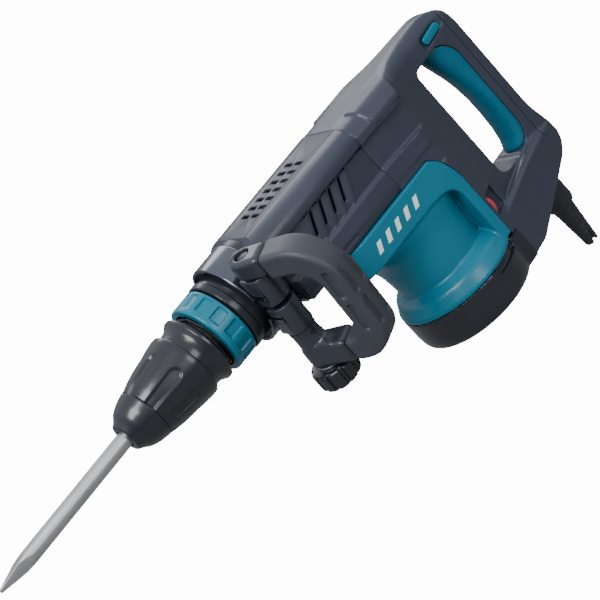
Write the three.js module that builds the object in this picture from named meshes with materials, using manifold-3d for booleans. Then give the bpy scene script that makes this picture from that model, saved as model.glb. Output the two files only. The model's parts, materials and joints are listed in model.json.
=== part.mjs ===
// Electric demolition hammer with a bull point, a D-shaped rear handle and a clamp-on side handle.
// Millimetres, +Z up. The motor axis is the Z axis and the underside of the end cap is z = 0.
// The hammer line (chisel, striker, piston) runs along X at height AXIS_Z, with the nose towards -X.

import * as THREE from 'three';
import { mergeVertices } from 'three/addons/utils/BufferGeometryUtils.js';
import Module from 'manifold-3d';

const wasm = await Module();
wasm.setup();

// ---------------------------------------------------------------- driving dimensions

const AXIS_Z = 216; // hammer line above the underside of the end cap
const NOSE_X = -382; // front of the nose cap
const CHISEL_TIP_X = -572;
const CHISEL_RADIUS = 9;
const BAND_RADIUS = 52; // outside of the side-handle clamp band
const BAND_FRONT_X = -206;
const BAND_REAR_X = -170.3;
const BARREL_RADIUS = 43;
const COVER_FRONT_X = -166;
const PARTING_X = -5; // joint between the front cover and the rear housing
const DECK_HEIGHT = 47; // top deck above the hammer line
const HANDLE_REAR_X = 196;
const CAP_RADIUS = 74.5;
const CAP_HEIGHT = 42;
const CAP_REAR_X = 65;
const MOTOR_TOP_Z = 171;
const WALL = 3; // thickness of the plastic shells
const GAP = 0.35; // clearance between touching pieces

const CRANK_X = -45; // crank axis, behind it the motor axis at x = 0
const CRANK_THROW = 17;
const ROD_LENGTH = 75;
const GEAR_MODULE = 1.25;
const PINION_TEETH = 10;
const CRANK_GEAR_TEETH = 62;
const CYLINDER_RADIUS = 26; // bore

const BOLT_X = -188; // side-handle bolt, where it passes the barrel
const BOLT_OFFSET = 60; // bolt axis to hammer line
const SIDE_HANDLE_ROLL = THREE.MathUtils.degToRad(10);
const SIDE_HANDLE_SWING = THREE.MathUtils.degToRad(22.5);

const CORD_X = 156;
const DIAL_AXIS = new THREE.Vector3(0.857, 0.515, 0).normalize();
const DIAL_CENTRE = new THREE.Vector3(57.6, -38.3, 80);
const DIAL_RADIUS = 16;
const DIAL_WIDTH = 5.5;

// ---------------------------------------------------------------- shapes

function toSolid(geometry) {
  const bare = geometry.clone();
  bare.deleteAttribute('normal');
  bare.deleteAttribute('uv');
  const merged = mergeVertices(bare, 1e-4);
  const position = merged.attributes.position.array;
  const corners = [];
  let volume = 0;
  const a = new THREE.Vector3();
  const b = new THREE.Vector3();
  const c = new THREE.Vector3();
  for (let i = 0; i < merged.index.count; i += 3) {
    const face = [0, 1, 2].map((k) => merged.index.getX(i + k));
    if (face[0] === face[1] || face[1] === face[2] || face[2] === face[0]) continue;
    corners.push(face);
    a.fromArray(position, face[0] * 3);
    b.fromArray(position, face[1] * 3);
    c.fromArray(position, face[2] * 3);
    volume += a.dot(b.cross(c));
  }
  if (volume < 0) corners.forEach((face) => face.reverse());
  const mesh = new wasm.Mesh({
    numProp: 3,
    vertProperties: Float32Array.from(position),
    triVerts: Uint32Array.from(corners.flat()),
  });
  return new wasm.Manifold(mesh);
}

function toGeometry(solid) {
  const mesh = solid.getMesh();
  const geometry = new THREE.BufferGeometry();
  geometry.setAttribute('position', new THREE.BufferAttribute(mesh.vertProperties, 3));
  geometry.setIndex(new THREE.BufferAttribute(mesh.triVerts, 1));
  geometry.computeVertexNormals();
  return geometry;
}

function join(first, ...others) {
  return others.reduce((whole, piece) => whole.add(piece), first);
}

function cut(first, ...tools) {
  return tools.reduce((left, tool) => left.subtract(tool), first);
}

// A closed outline from corners [x, y, rounding].
function outline(corners) {
  const shape = new THREE.Shape();
  corners.forEach(([x, y, rounding = 0], i) => {
    const corner = new THREE.Vector2(x, y);
    const [bx, by] = corners[(i + corners.length - 1) % corners.length];
    const [ax, ay] = corners[(i + 1) % corners.length];
    const before = new THREE.Vector2(bx, by).sub(corner);
    const after = new THREE.Vector2(ax, ay).sub(corner);
    const reach = Math.min(rounding, before.length() * 0.48, after.length() * 0.48);
    const entry = corner.clone().add(before.setLength(reach));
    const exit = corner.clone().add(after.setLength(reach));
    if (i === 0) shape.moveTo(entry.x, entry.y);
    else shape.lineTo(entry.x, entry.y);
    if (reach > 0) shape.quadraticCurveTo(x, y, exit.x, exit.y);
  });
  shape.closePath();
  return shape;
}

function extrude(shape, depth, curveSegments) {
  return new THREE.ExtrudeGeometry(shape, { depth, curveSegments, bevelEnabled: false });
}

// Outline corners are (y, z) here.
function alongX(corners, x0, x1, curveSegments = 2) {
  const geometry = extrude(outline(corners), x1 - x0, curveSegments);
  const basis = new THREE.Matrix4().makeBasis(
    new THREE.Vector3(0, 1, 0),
    new THREE.Vector3(0, 0, 1),
    new THREE.Vector3(1, 0, 0),
  );
  return toSolid(geometry.applyMatrix4(basis).translate(x0, 0, 0));
}

// Outline corners are (x, z) here.
function alongY(corners, y0, y1, curveSegments = 2) {
  const geometry = extrude(outline(corners), y1 - y0, curveSegments);
  return toSolid(geometry.rotateX(Math.PI / 2).translate(0, y1, 0));
}

// Outline corners are (x, y) here.
function alongZ(corners, z0, z1, curveSegments = 2) {
  return toSolid(extrude(outline(corners), z1 - z0, curveSegments).translate(0, 0, z0));
}

// A closed skin through rings of equal point counts, each ring being [z, [[x, y], ...]].
function loftZ(rings) {
  const count = rings[0][1].length;
  const points = rings.flatMap(([z, ring]) => ring.map(([x, y]) => new THREE.Vector3(x, y, z)));
  const faces = [];
  for (let r = 0; r < rings.length - 1; r += 1) {
    for (let i = 0; i < count; i += 1) {
      const a = r * count + i;
      const b = r * count + ((i + 1) % count);
      faces.push(a, b, b + count, a, b + count, a + count);
    }
  }
  const lid = (offset, flip) => {
    const contour = points.slice(offset, offset + count).map((point) => new THREE.Vector2(point.x, point.y));
    THREE.ShapeUtils.triangulateShape(contour, []).forEach((face) => {
      const corners = flip ? [face[2], face[1], face[0]] : face;
      faces.push(...corners.map((corner) => corner + offset));
    });
  };
  lid(0, true);
  lid(count * (rings.length - 1), false);
  const geometry = new THREE.BufferGeometry().setFromPoints(points);
  geometry.setIndex(faces);
  return toSolid(geometry);
}

function block(x0, x1, y0, y1, z0, z1) {
  const geometry = new THREE.BoxGeometry(x1 - x0, y1 - y0, z1 - z0);
  return toSolid(geometry.translate((x0 + x1) / 2, (y0 + y1) / 2, (z0 + z1) / 2));
}

// A ring or disc turned about Y from a closed profile [along, radius].
function lathe(profile, segments) {
  const points = profile.map(([along, radius]) => new THREE.Vector2(radius, along));
  points.push(points[0].clone());
  return new THREE.LatheGeometry(points, segments);
}

function turnedX(profile, segments = 24) {
  return toSolid(lathe(profile, segments).rotateZ(-Math.PI / 2));
}

function turnedZ(profile, segments = 24) {
  return toSolid(lathe(profile, segments).rotateX(Math.PI / 2));
}

function pinX(x0, x1, radius, segments = 18) {
  return turnedX([[x0, 0], [x0, radius], [x1, radius], [x1, 0]], segments);
}

function pinZ(z0, z1, radius, segments = 18) {
  return turnedZ([[z0, 0], [z0, radius], [z1, radius], [z1, 0]], segments);
}

function tubeX(x0, x1, inner, outer, segments = 24) {
  return turnedX([[x0, inner], [x0, outer], [x1, outer], [x1, inner]], segments);
}

function tubeZ(z0, z1, inner, outer, segments = 24) {
  return turnedZ([[z0, inner], [z0, outer], [z1, outer], [z1, inner]], segments);
}

// A compression spring wound about X.
class Helix extends THREE.Curve {
  constructor(x0, x1, radius, turns) {
    super();
    Object.assign(this, { x0, x1, radius, turns });
  }

  getPoint(t, target = new THREE.Vector3()) {
    const angle = t * this.turns * 2 * Math.PI;
    const x = THREE.MathUtils.lerp(this.x0, this.x1, t);
    return target.set(x, this.radius * Math.cos(angle), this.radius * Math.sin(angle));
  }
}

function springX(x0, x1, radius, wireRadius, turns) {
  const section = new THREE.Shape();
  section.absarc(0, 0, wireRadius, 0, 2 * Math.PI);
  const path = new Helix(x0 + wireRadius, x1 - wireRadius, radius, turns);
  const options = { steps: turns * 10, extrudePath: path, curveSegments: 3, bevelEnabled: false };
  return toSolid(new THREE.ExtrudeGeometry(section, options));
}

// A spur wheel about Z, with straight-sided teeth thin enough to run freely.
function spurOutline(teeth, module, phase) {
  const pitch = (module * teeth) / 2;
  const root = pitch - 1.2 * module;
  const tip = pitch + 0.8 * module;
  const corners = [];
  for (let i = 0; i < teeth; i += 1) {
    const step = (2 * Math.PI) / teeth;
    const middle = phase + i * step;
    const halfRoot = step * 0.27;
    const halfTip = step * 0.1;
    const places = [[root, -halfRoot], [tip, -halfTip], [tip, halfTip], [root, halfRoot]];
    places.forEach(([radius, offset]) => {
      corners.push([radius * Math.cos(middle + offset), radius * Math.sin(middle + offset)]);
    });
  }
  return corners;
}

// ---------------------------------------------------------------- finishes and the tree

function finish(color, roughness, metalness = 0) {
  return new THREE.MeshStandardMaterial({ color, roughness, metalness });
}

const darkPlastic = finish(0x434750, 0.5);
const blackPlastic = finish(0x24262b, 0.55);
const tealPlastic = finish(0x077088, 0.4);
const tealGrip = finish(0x0a6f86, 0.6);
const blackRubber = finish(0x2b2e34, 0.75);
const satinSteel = finish(0xb8bcbc, 0.3, 1);
const darkSteel = finish(0x5c6068, 0.28, 1);
const castMetal = finish(0x55585c, 0.55, 0.9);
const copper = finish(0xb3653a, 0.45, 0.8);
const graphite = finish(0x1d1d1f, 0.7);
const redPlastic = finish(0xc0505a, 0.4);

const hammer = new THREE.Group();
const hammerLine = new THREE.Group();
hammerLine.position.z = AXIS_Z;
const sideHandle = new THREE.Group();
sideHandle.position.z = AXIS_Z;
sideHandle.rotation.x = SIDE_HANDLE_ROLL;
const sideGrip = new THREE.Group();
sideGrip.position.set(BOLT_X, -BOLT_OFFSET, 0);
sideGrip.rotation.z = SIDE_HANDLE_SWING;
sideHandle.add(sideGrip);
hammer.add(hammerLine, sideHandle);

function place(group, name, solid, material) {
  const mesh = new THREE.Mesh(toGeometry(solid), material);
  mesh.name = name;
  group.add(mesh);
}

// ---------------------------------------------------------------- chisel and its holder

const HOLDER_REAR_X = -219.4;
const SHANK_REAR_X = -297;
const ROLLER_X = [-351, -325];
const NECK_FRONT_X = -287.5;
const SLEEVE_FRONT_X = -349;
const SLEEVE_REAR_X = -284;
const RING_FRONT_X = -253;
const RING_REAR_X = -225;

function makeChisel() {
  const pointLength = 46;
  const tipRadius = 2.4;
  const slope = (CHISEL_RADIUS * Math.SQRT2 - tipRadius) / pointLength;
  const pointBase = tipRadius + slope * (SHANK_REAR_X - CHISEL_TIP_X);
  const length = SHANK_REAR_X - CHISEL_TIP_X;
  const pyramid = new THREE.CylinderGeometry(tipRadius, pointBase, length, 4);
  pyramid.rotateZ(Math.PI / 2).rotateX(Math.PI / 4);
  pyramid.translate((CHISEL_TIP_X + SHANK_REAR_X) / 2, 0, 0);
  const shank = pinX(CHISEL_TIP_X, SHANK_REAR_X, CHISEL_RADIUS, 24);
  const groove = (side) =>
    block(ROLLER_X[0] - 2, ROLLER_X[1] + 13, -4.5, 4.5, side * 7.6 - 1.6, side * 7.6 + 1.6);
  return cut(shank.intersect(toSolid(pyramid)), groove(1), groove(-1));
}

function makeToolHolder() {
  const body = turnedX([
    [-376, 9.4], [-376, 17], [-320, 17], [-320, 22.3], [-264, 22.3], [-264, 30],
    [HOLDER_REAR_X, 30], [HOLDER_REAR_X, 26.5], [-229, 26.5], [-229, 14.4], [-298, 14.4], [-298, 9.4],
  ], 24);
  const window = (side) => block(ROLLER_X[0] - 1, ROLLER_X[1] + 1, -4.4, 4.4, side * 14 - 6, side * 14 + 6);
  return cut(body, window(1), window(-1));
}

function makeNoseCap() {
  return turnedX([
    [NOSE_X, 10.5], [NOSE_X, 13], [-381, 17.5], [-374.5, 21], [-370, 25], [-359.5, 29],
    [-349.4, 31.4], [-349.4, 17.3], [-376.6, 17.3], [-376.6, 10.5],
  ], 26);
}

function makeReleaseSleeve() {
  const body = turnedX([
    [SLEEVE_FRONT_X, 22.8], [SLEEVE_FRONT_X, 31.5], [-338, 34.2], [-318, 37.5], [-300, 39.6],
    [-290, 40.6], [-285.5, 40.5], [SLEEVE_REAR_X, 39.2], [SLEEVE_REAR_X, 37.4], [-296, 37.4],
    [-296, 29.5], [-316, 29.5], [-316, 22.8],
  ], 32);
  const scoops = [];
  for (let i = 0; i < 8; i += 1) {
    const corners = [[-356, -6], [-303, -6, 5], [-303, 6, 5], [-356, 6]];
    const scoop = new THREE.ExtrudeGeometry(
      outline(corners), { depth: 8, curveSegments: 2, bevelEnabled: false });
    scoop.rotateY(THREE.MathUtils.degToRad(-3.5)).translate(0, 0, 15.6);
    scoop.rotateX((i + 0.5) * (Math.PI / 4));
    scoops.push(toSolid(scoop));
  }
  return cut(body, ...scoops);
}

function makeNeckRing() {
  return turnedX([
    [NECK_FRONT_X, 22.8], [NECK_FRONT_X, 36.6], [-276, 36.6], [-271, 38], [-267.5, 40.6],
    [-266, 42], [-263, 42], [-262.5, 41], [-262.5, 30.6], [-264.5, 30.6], [-264.5, 22.8],
  ], 26);
}

function makeChangeRing() {
  const body = turnedX([
    [RING_FRONT_X, 36.4], [RING_FRONT_X, 42], [-251.5, 43.5], [-226, 43.5], [RING_REAR_X, 42.6],
    [RING_REAR_X, 30.6], [-243, 30.6], [-243, 36.4],
  ], 32);
  const pockets = [];
  for (let i = 0; i < 12; i += 1) {
    const pocket = new THREE.BoxGeometry(17, 13, 4);
    pocket.translate(-237, 0, 43.9).rotateX((i * Math.PI) / 6);
    pockets.push(toSolid(pocket));
  }
  return cut(body, ...pockets);
}

place(hammerLine, 'bull_point', makeChisel(), satinSteel);
place(hammerLine, 'tool_holder', makeToolHolder(), castMetal);
place(hammerLine, 'nose_cap', makeNoseCap(), blackRubber);
place(hammerLine, 'release_sleeve', makeReleaseSleeve(), blackPlastic);
place(hammerLine, 'neck_ring', makeNeckRing(), blackPlastic);
place(hammerLine, 'change_ring', makeChangeRing(), tealPlastic);
place(hammerLine, 'release_spring', springX(-315.6, -288, 26, 1.6, 4), castMetal);
place(hammerLine, 'change_ring_spring', springX(-262, -243.4, 33.4, 1.3, 3), castMetal);
['upper', 'lower'].forEach((end, i) => {
  const roller = pinX(ROLLER_X[0], ROLLER_X[1], 3.8, 12).translate([0, 0, i === 0 ? 12.4 : -12.4]);
  place(hammerLine, `${end}_locking_roller`, roller, satinSteel);
});

// ---------------------------------------------------------------- barrel and striking gear

const CRANK_HOUSING_X = [-159.6, 28];
const CRANK_HOUSING_BOTTOM = MOTOR_TOP_Z + GAP - AXIS_Z;
const CYLINDER_OUTER = 30;
const PISTON_X = [-157, -119.5];
const PISTON_PIN_X = CRANK_X - CRANK_THROW - ROD_LENGTH;

function makeBarrel() {
  return turnedX([
    [-223, CYLINDER_OUTER + 0.4], [-223, 43.5], [-222, 44.5], [-215, 44.5],
    [-214, BARREL_RADIUS], [-169.6, BARREL_RADIUS],
    [-169.6, 49], [-160, 49], [-160, CYLINDER_OUTER + 0.4], 
  ], 32);
}

function makeImpactBolt() {
  return turnedX([
    [-296.4, 0], [-296.4, 8.8], [-292, 8.8], [-288, 13.9], [-250, 13.9], [-246, 10], [-236, 10], [-236, 0],
  ], 18);
}

function makeStriker() {
  const body = pinX(-226, -186, CYLINDER_RADIUS - 0.25, 24);
  return cut(body, tubeX(-200, -196, 23.4, 28, 24));
}

function makePiston() {
  const radius = CYLINDER_RADIUS - 0.25;
  const body = turnedX([
    [PISTON_X[0], 0], [PISTON_X[0], radius], [-152, radius], [-152, radius - 2.6], [-148, radius - 2.6],
    [-148, radius], [PISTON_X[1], radius], [PISTON_X[1], 0],
  ], 24);
  const rodSlot = alongZ([[-149, -8.2], [-116, -14], [-116, 14], [-149, 8.2]], -6.7, 6.7);
  const pinBore = pinZ(-23, 23, 5.1, 16).translate([PISTON_PIN_X, 0, 0]);
  return cut(body, rodSlot, pinBore);
}

function makeConRod() {
  const pinX0 = PISTON_PIN_X;
  const crankPinX = CRANK_X - CRANK_THROW;
  const smallEnd = pinZ(-6, 6, 7.8, 20).translate([pinX0, 0, 0]);
  const bigEnd = pinZ(-6, 6, 12.5, 24).translate([crankPinX, 0, 0]);
  const shank = block(pinX0, crankPinX, -5.5, 5.5, -5, 5);
  const smallBore = pinZ(-7, 7, 5.1, 16).translate([pinX0, 0, 0]);
  const bigBore = pinZ(-7, 7, 8, 20).translate([crankPinX, 0, 0]);
  return cut(join(smallEnd, bigEnd, shank), smallBore, bigBore);
}

function makeCrankHousing() {
  const bottom = CRANK_HOUSING_BOTTOM;
  const section = [
    [-45.5, bottom, 4], [45.5, bottom, 4], [45.5, 14, 6], [38, 33, 6], [20, 40.5, 6], [-20, 40.5, 6],
    [-38, 33, 6], [-45.5, 14, 6],
  ];
  const body = alongX(section, CRANK_HOUSING_X[0], CRANK_HOUSING_X[1]);
  const cavity = block(-98, 24, -42, 42, bottom + 8, 12);
  const bore = pinX(-170, -80, CYLINDER_OUTER + 0.4, 24);
  const crankSeat = pinZ(bottom + 3, bottom + 9, 13.4, 24).translate([CRANK_X, 0, 0]);
  const shaftHole = pinZ(bottom - 1, bottom + 9, 16.4, 24);
  return cut(body, cavity, bore, crankSeat, shaftHole);
}

function makeCrankshaft() {
  const shaft = turnedZ([
    [CRANK_HOUSING_BOTTOM + 3.4, 0], [CRANK_HOUSING_BOTTOM + 3.4, 6.2], [-28.6, 6.2],
    [-28.6, 10], [-18.2, 10],
    [-18.2, 27], [-10.4, 27], [-10.4, 0],
  ], 24);
  return join(shaft, pinZ(-12, -6.4, 7.6, 16).translate([-CRANK_THROW, 0, 0])).translate([CRANK_X, 0, 0]);
}

function makeCrankGear() {
  const wheel = alongZ(spurOutline(CRANK_GEAR_TEETH, GEAR_MODULE, 0), -28, -19);
  return cut(wheel, pinZ(-30, -17, 10.35, 20)).translate([CRANK_X, 0, 0]);
}

place(hammerLine, 'barrel', makeBarrel(), castMetal);
place(hammerLine, 'cylinder', tubeX(-218, -90, CYLINDER_RADIUS, CYLINDER_OUTER, 24), satinSteel);
place(hammerLine, 'impact_bolt', makeImpactBolt(), satinSteel);
place(hammerLine, 'striker', makeStriker(), satinSteel);
place(hammerLine, 'striker_ring', tubeX(-199.7, -196.3, 23.7, 25.8, 24), blackRubber);
place(hammerLine, 'piston', makePiston(), castMetal);
place(hammerLine, 'piston_ring', tubeX(-151.7, -148.3, 23.5, 25.8, 24), blackRubber);
place(hammerLine, 'piston_pin', pinZ(-22.6, 22.6, 4.75, 16).translate([PISTON_PIN_X, 0, 0]), satinSteel);
place(hammerLine, 'connecting_rod', makeConRod(), castMetal);
place(hammerLine, 'crank_housing', makeCrankHousing(), castMetal);
place(hammerLine, 'crankshaft', makeCrankshaft(), satinSteel);
place(hammerLine, 'crank_gear', makeCrankGear(), satinSteel);
const crankBearing = tubeZ(CRANK_HOUSING_BOTTOM + 3.4, CRANK_HOUSING_BOTTOM + 9.4, 6.6, 13, 24);
place(hammerLine, 'crank_bearing', crankBearing.translate([CRANK_X, 0, 0]), satinSteel);

// ---------------------------------------------------------------- motor

const UPPER_BEARING_Z = [157, 168];
const LOWER_BEARING_Z = [14, 24];

function makeArmatureShaft() {
  const pinionPhase = Math.PI + Math.PI / PINION_TEETH;
  const pinion = alongZ(spurOutline(PINION_TEETH, GEAR_MODULE, pinionPhase), AXIS_Z - 28, AXIS_Z - 19);
  return join(pinZ(14.2, AXIS_Z - 28.4, 6, 16), pinZ(AXIS_Z - 29, AXIS_Z - 18, 4.2, 12), pinion);
}

function makeArmatureCore() {
  const slots = 12;
  const corners = [];
  for (let i = 0; i < slots; i += 1) {
    const middle = (i * 2 * Math.PI) / slots;
    [[18, -0.045], [18, 0.045], [26.4, 0.045], [26.4, 0.478]].forEach(([radius, offset]) => {
      corners.push([radius * Math.cos(middle + offset), radius * Math.sin(middle + offset)]);
    });
  }
  return cut(alongZ(corners, 72, 118), pinZ(70, 120, 6.35, 20));
}

function makeFan() {
  const disc = pinZ(134, 136.5, 45, 36);
  const hub = pinZ(134, 146, 11, 20);
  const blades = [];
  for (let i = 0; i < 9; i += 1) {
    const blade = new THREE.BoxGeometry(30, 2, 10);
    blade.rotateZ(0.35).translate(28, 0, 141.2).rotateZ((i * 2 * Math.PI) / 9);
    blades.push(toSolid(blade));
  }
  return cut(join(disc, hub, ...blades), pinZ(130, 150, 6.35, 20));
}

place(hammer, 'armature_shaft', makeArmatureShaft(), satinSteel);
place(hammer, 'armature_core', makeArmatureCore(), castMetal);
place(hammer, 'lower_armature_winding',
  turnedZ([[62, 6.35], [62, 16], [65, 21], [71.6, 21], [71.6, 6.35]], 24), copper);
place(hammer, 'upper_armature_winding',
  turnedZ([[118.4, 6.35], [118.4, 21], [125, 21], [129, 15], [129, 6.35]], 24), copper);
place(hammer, 'commutator', tubeZ(36, 58, 6.35, 16, 24), copper);
place(hammer, 'cooling_fan', makeFan(), blackPlastic);
place(hammer, 'upper_bearing', tubeZ(...UPPER_BEARING_Z, 6.4, 16, 24), satinSteel);
place(hammer, 'lower_bearing', tubeZ(...LOWER_BEARING_Z, 6.4, 13, 24), satinSteel);
place(hammer, 'stator_core', tubeZ(72, 118, 27.4, 48.5, 36), castMetal);
place(hammer, 'lower_field_winding', tubeZ(62, 71.6, 28.5, 44, 24), copper);
place(hammer, 'upper_field_winding', tubeZ(118.4, 128, 28.5, 44, 24), copper);
['left', 'right'].forEach((side, i) => {
  const sign = i === 0 ? -1 : 1;
  const outward = (near, far, half, z0, z1) =>
    block(-half, half, Math.min(sign * near, sign * far), Math.max(sign * near, sign * far), z0, z1);
  const brush = outward(16.4, 34, 4, 41, 53);
  const holder = cut(outward(19, 46, 7.5, 38, 56), outward(18, 42, 4.35, 40.65, 53.35));
  place(hammer, `${side}_carbon_brush`, brush, graphite);
  place(hammer, `${side}_brush_holder`, holder, blackPlastic);
});

// ---------------------------------------------------------------- motor housing and end cap

// The waist of the motor housing: [height, reach to the front, half width, squareness].
const WAIST = [
  [46, 57, 53, 2], [66, 57, 53, 2], [90, 59, 53, 2], [106, 61.5, 53, 2.1], [118, 67, 53.5, 2.3],
  [128, 77, 54.5, 2.8], [137, 97, 55.5, 3.6],
];

function waistRing(front, half, power) {
  const count = 40;
  const ring = [];
  for (let i = 0; i < count; i += 1) {
    const angle = (i * 2 * Math.PI) / count;
    const along = Math.sign(Math.cos(angle)) * Math.abs(Math.cos(angle)) ** (2 / power);
    const across = Math.sign(Math.sin(angle)) * Math.abs(Math.sin(angle)) ** (2 / power);
    ring.push([along * (along < 0 ? front : 50), across * half]);
  }
  return ring;
}

function motorBody() {
  const band = alongZ([
    [-110, -46, 12], [-84, -57, 10], [57, -57, 4], [57, 57, 4], [-84, 57, 10], [-110, 46, 12],
  ], 136, MOTOR_TOP_Z);
  const flange = turnedZ([
    [CAP_HEIGHT + GAP, 0], [CAP_HEIGHT + GAP, CAP_RADIUS], [49, CAP_RADIUS], [61, 66.5], [64, 60], [64, 0],
  ], 36);
  const waist = loftZ(WAIST.map(([z, front, half, power]) => [z, waistRing(front, half, power)]));
  const rearFrame = alongY([
    [57, 46], [57, 139], [10, 139], [10, 135.9], [41.5, 135.9, 24], [41.5, 46],
  ], -57, 57);
  const frontTrim = alongY([[-120, 151], [-110.5, 151], [-98, 135.5], [-98, 120], [-120, 120]], -70, 70);
  return cut(join(waist, flange, rearFrame, band), frontTrim);
}

function makeMotorHousing() {
  const outer = motorBody();
  const rearTrim = alongY([
    [57, 30], [57, 138, 10], [48.5, 161, 8], [38, MOTOR_TOP_Z], [38, 190], [90, 190], [90, 30]
  ], -90, 90);
  const statorSpace = pinZ(30, 150, 49.5, 36);
  const bearingSeat = pinZ(149, UPPER_BEARING_Z[1] + GAP, 16.4, 24);
  const shaftHole = pinZ(150, 180, 12, 24);
  const frontPocket = alongZ([[-104, -43, 10], [-54, -50], [-54, 50], [-104, 43, 10]], 141, 180);
  return cut(outer, rearTrim, statorSpace, bearingSeat, shaftHole, frontPocket, dialSlot());
}

function makeEndCap() {
  const shell = turnedZ([
    [0, 0], [0, 68], [1.5, 71.5], [6, 73.6], [14, CAP_RADIUS], [CAP_HEIGHT, CAP_RADIUS],
    [CAP_HEIGHT, 64], [5, 60], [5, 0],
  ], 32);
  const bearingBoss = cut(pinZ(4.5, 24, 17, 24), pinZ(LOWER_BEARING_Z[0] - GAP, 30, 13.4, 24));
  const rearTrim = block(CAP_REAR_X, 90, -90, 90, -1, 60);
  const corner = alongZ([
    [30, -54.5], [57, -54.5], [CAP_REAR_X, -51], [CAP_REAR_X, 51], [57, 54.5], [30, 54.5], [30, 47], [58, 44],
    [58, -44], [30, -47],
  ], 3, CAP_HEIGHT);
  const inlet = (side) => {
    const arc = new THREE.Shape();
    const from = side * THREE.MathUtils.degToRad(48);
    const to = side * THREE.MathUtils.degToRad(92);
    arc.absarc(0, 0, 84, from, to, side < 0);
    arc.absarc(0, 0, 58, to, from, side > 0);
    arc.closePath();
    return toSolid(extrude(arc, 8, 8).translate(0, 0, 33));
  };
  return cut(join(shell, bearingBoss, corner), rearTrim, inlet(-1), inlet(1));
}

place(hammer, 'motor_housing', makeMotorHousing(), tealPlastic);
place(hammer, 'end_cap', makeEndCap(), blackPlastic);

// ---------------------------------------------------------------- front cover and rear housing

const FRONT_HALF_SECTION = [
  [28, DECK_HEIGHT, 3], [46, 43, 7], [55, 31, 7], [54.5, 22, 1], [50.5, 20, 1], [50.5, -14, 1], [55, -18, 2],
  [56.5, -34, 3], [53, CRANK_HOUSING_BOTTOM + GAP],
];

function frontSection(inset) {
  const right = FRONT_HALF_SECTION.map(
    ([y, z, rounding]) => [y - inset, z > 0 ? z - inset * 0.8 : z, rounding]);
  const left = right.map(([y, z, rounding]) => [-y, z, rounding]).reverse();
  return [...right, ...left];
}

function makeFrontCover() {
  const body = alongX(frontSection(0), COVER_FRONT_X, PARTING_X - GAP);
  const side = alongY([
    [COVER_FRONT_X, -36, 8], [COVER_FRONT_X, 36, 4], [-152, 60], [0, 60], [0, -60], [-140, -60],
  ], -70, 70);
  const inner = alongX(frontSection(WALL), COVER_FRONT_X + 6, PARTING_X + 5);
  const barrelHole = pinX(-180, -150, 49.6, 40);
  const cutters = [inner, barrelHole];
  for (let row = 0; row < 7; row += 1) {
    const x = -128 + row * 12.5;
    cutters.push(block(x, x + 6, 1.5, 18, 40, 50), block(x, x + 6, -18, -1.5, 40, 50));
  }
  for (let i = 0; i < 4; i += 1) {
    const x = -112 + i * 16;
    const louvre = [[x, -6], [x + 6, -6], [x + 21, 17], [x + 15, 17]];
    cutters.push(alongY(louvre, -60, -45), alongY(louvre, 45, 60));
  }
  return cut(body.intersect(side), ...cutters);
}

const HANDLE_SIDE = [
  [PARTING_X, MOTOR_TOP_Z + GAP], [PARTING_X, AXIS_Z + DECK_HEIGHT], [122, 263.5, 20], [171, 263, 14],
  [191, 256, 10], [HANDLE_REAR_X, 238, 12], [HANDLE_REAR_X, 104, 12], [203, 76, 14], [203, 52, 12],
  [188, 38, 12], [90, 3, 4], [65.5, 3], [65.5, CAP_HEIGHT + GAP], [57.4, CAP_HEIGHT + GAP], [57.4, 138, 10],
  [48.9, 161.2, 8], [38.2, MOTOR_TOP_Z + GAP],
];

// The wide foot under the handle, creased along each side.
const BRACKET_HALF_PLAN = [[57.4, 54], [65, 51], [182, 25.5], [206, 20]];

function makeBracket(side) {
  const plan = alongZ([
    ...BRACKET_HALF_PLAN.map(([x, y]) => [x, -y]), ...BRACKET_HALF_PLAN.map(([x, y]) => [x, y]).reverse(),
  ], -5, 90);
  const top = alongY([[50, -5], [220, -5], [220, 84], [184, 81], [112, 69], [80, 64], [50, 62]], -60, 60);
  return plan.intersect(top).intersect(side);
}

// Takes the lower edge off the foot, below a crease that runs back and up.
function creaseCutter(sign) {
  const near = [[57, 54.5, 53], [206, 20, 75], [206, 8, 30], [88, 26, -6], [57, 50, -6]];
  const points = [...near, ...near.map(([x, , z]) => [x, 95, z])]
    .map(([x, y, z]) => new THREE.Vector3(x, sign * y, z));
  const faces = [[0, 1, 2], [0, 2, 3], [0, 3, 4], [7, 6, 5], [8, 7, 5], [9, 8, 5]];
  for (let i = 0; i < 5; i += 1) {
    const next = (i + 1) % 5;
    faces.push([i + 5, next, i], [i + 5, next + 5, next]);
  }
  const geometry = new THREE.BufferGeometry().setFromPoints(points);
  geometry.setIndex(faces.flat());
  return toSolid(geometry);
}

function makeRearBlank() {
  const side = alongY(HANDLE_SIDE, -60, 60);
  const plan = alongZ([
    [PARTING_X, -54.5], [20, -55], [57, -56.5, 4], [74, -46, 6], [98, -31, 8], [122, -24, 10], [160, -20, 10],
    [206, -19], [206, 19], [160, 20, 10], [122, 24, 10], [98, 31, 8], [74, 46, 6], [57, 56.5, 4], [20, 55],
    [PARTING_X, 54.5],
  ], -5, 300);
  const section = alongX([
    [-60, -10], [60, -10], [60, AXIS_Z + 12, 4], [50, AXIS_Z + 36, 12], [24, AXIS_Z + DECK_HEIGHT + 0.6, 8],
    [-24, AXIS_Z + DECK_HEIGHT + 0.6, 8], [-50, AXIS_Z + 36, 12], [-60, AXIS_Z + 12, 4],
  ], PARTING_X, 210);
  return cut(
    join(side.intersect(plan).intersect(section), makeBracket(side)), creaseCutter(1), creaseCutter(-1));
}

const LEVER_OUTLINE = [[148, 238.5, 4.4], [176, 241.5, 4.4], [175, 250.5, 4.4], [147, 247.5, 4.4]];

const LEVER_ROOM = [[147.4, 238, 4.7], [176.4, 241, 4.7], [175.6, 251, 4.7], [146.6, 248, 4.7]];
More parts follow.
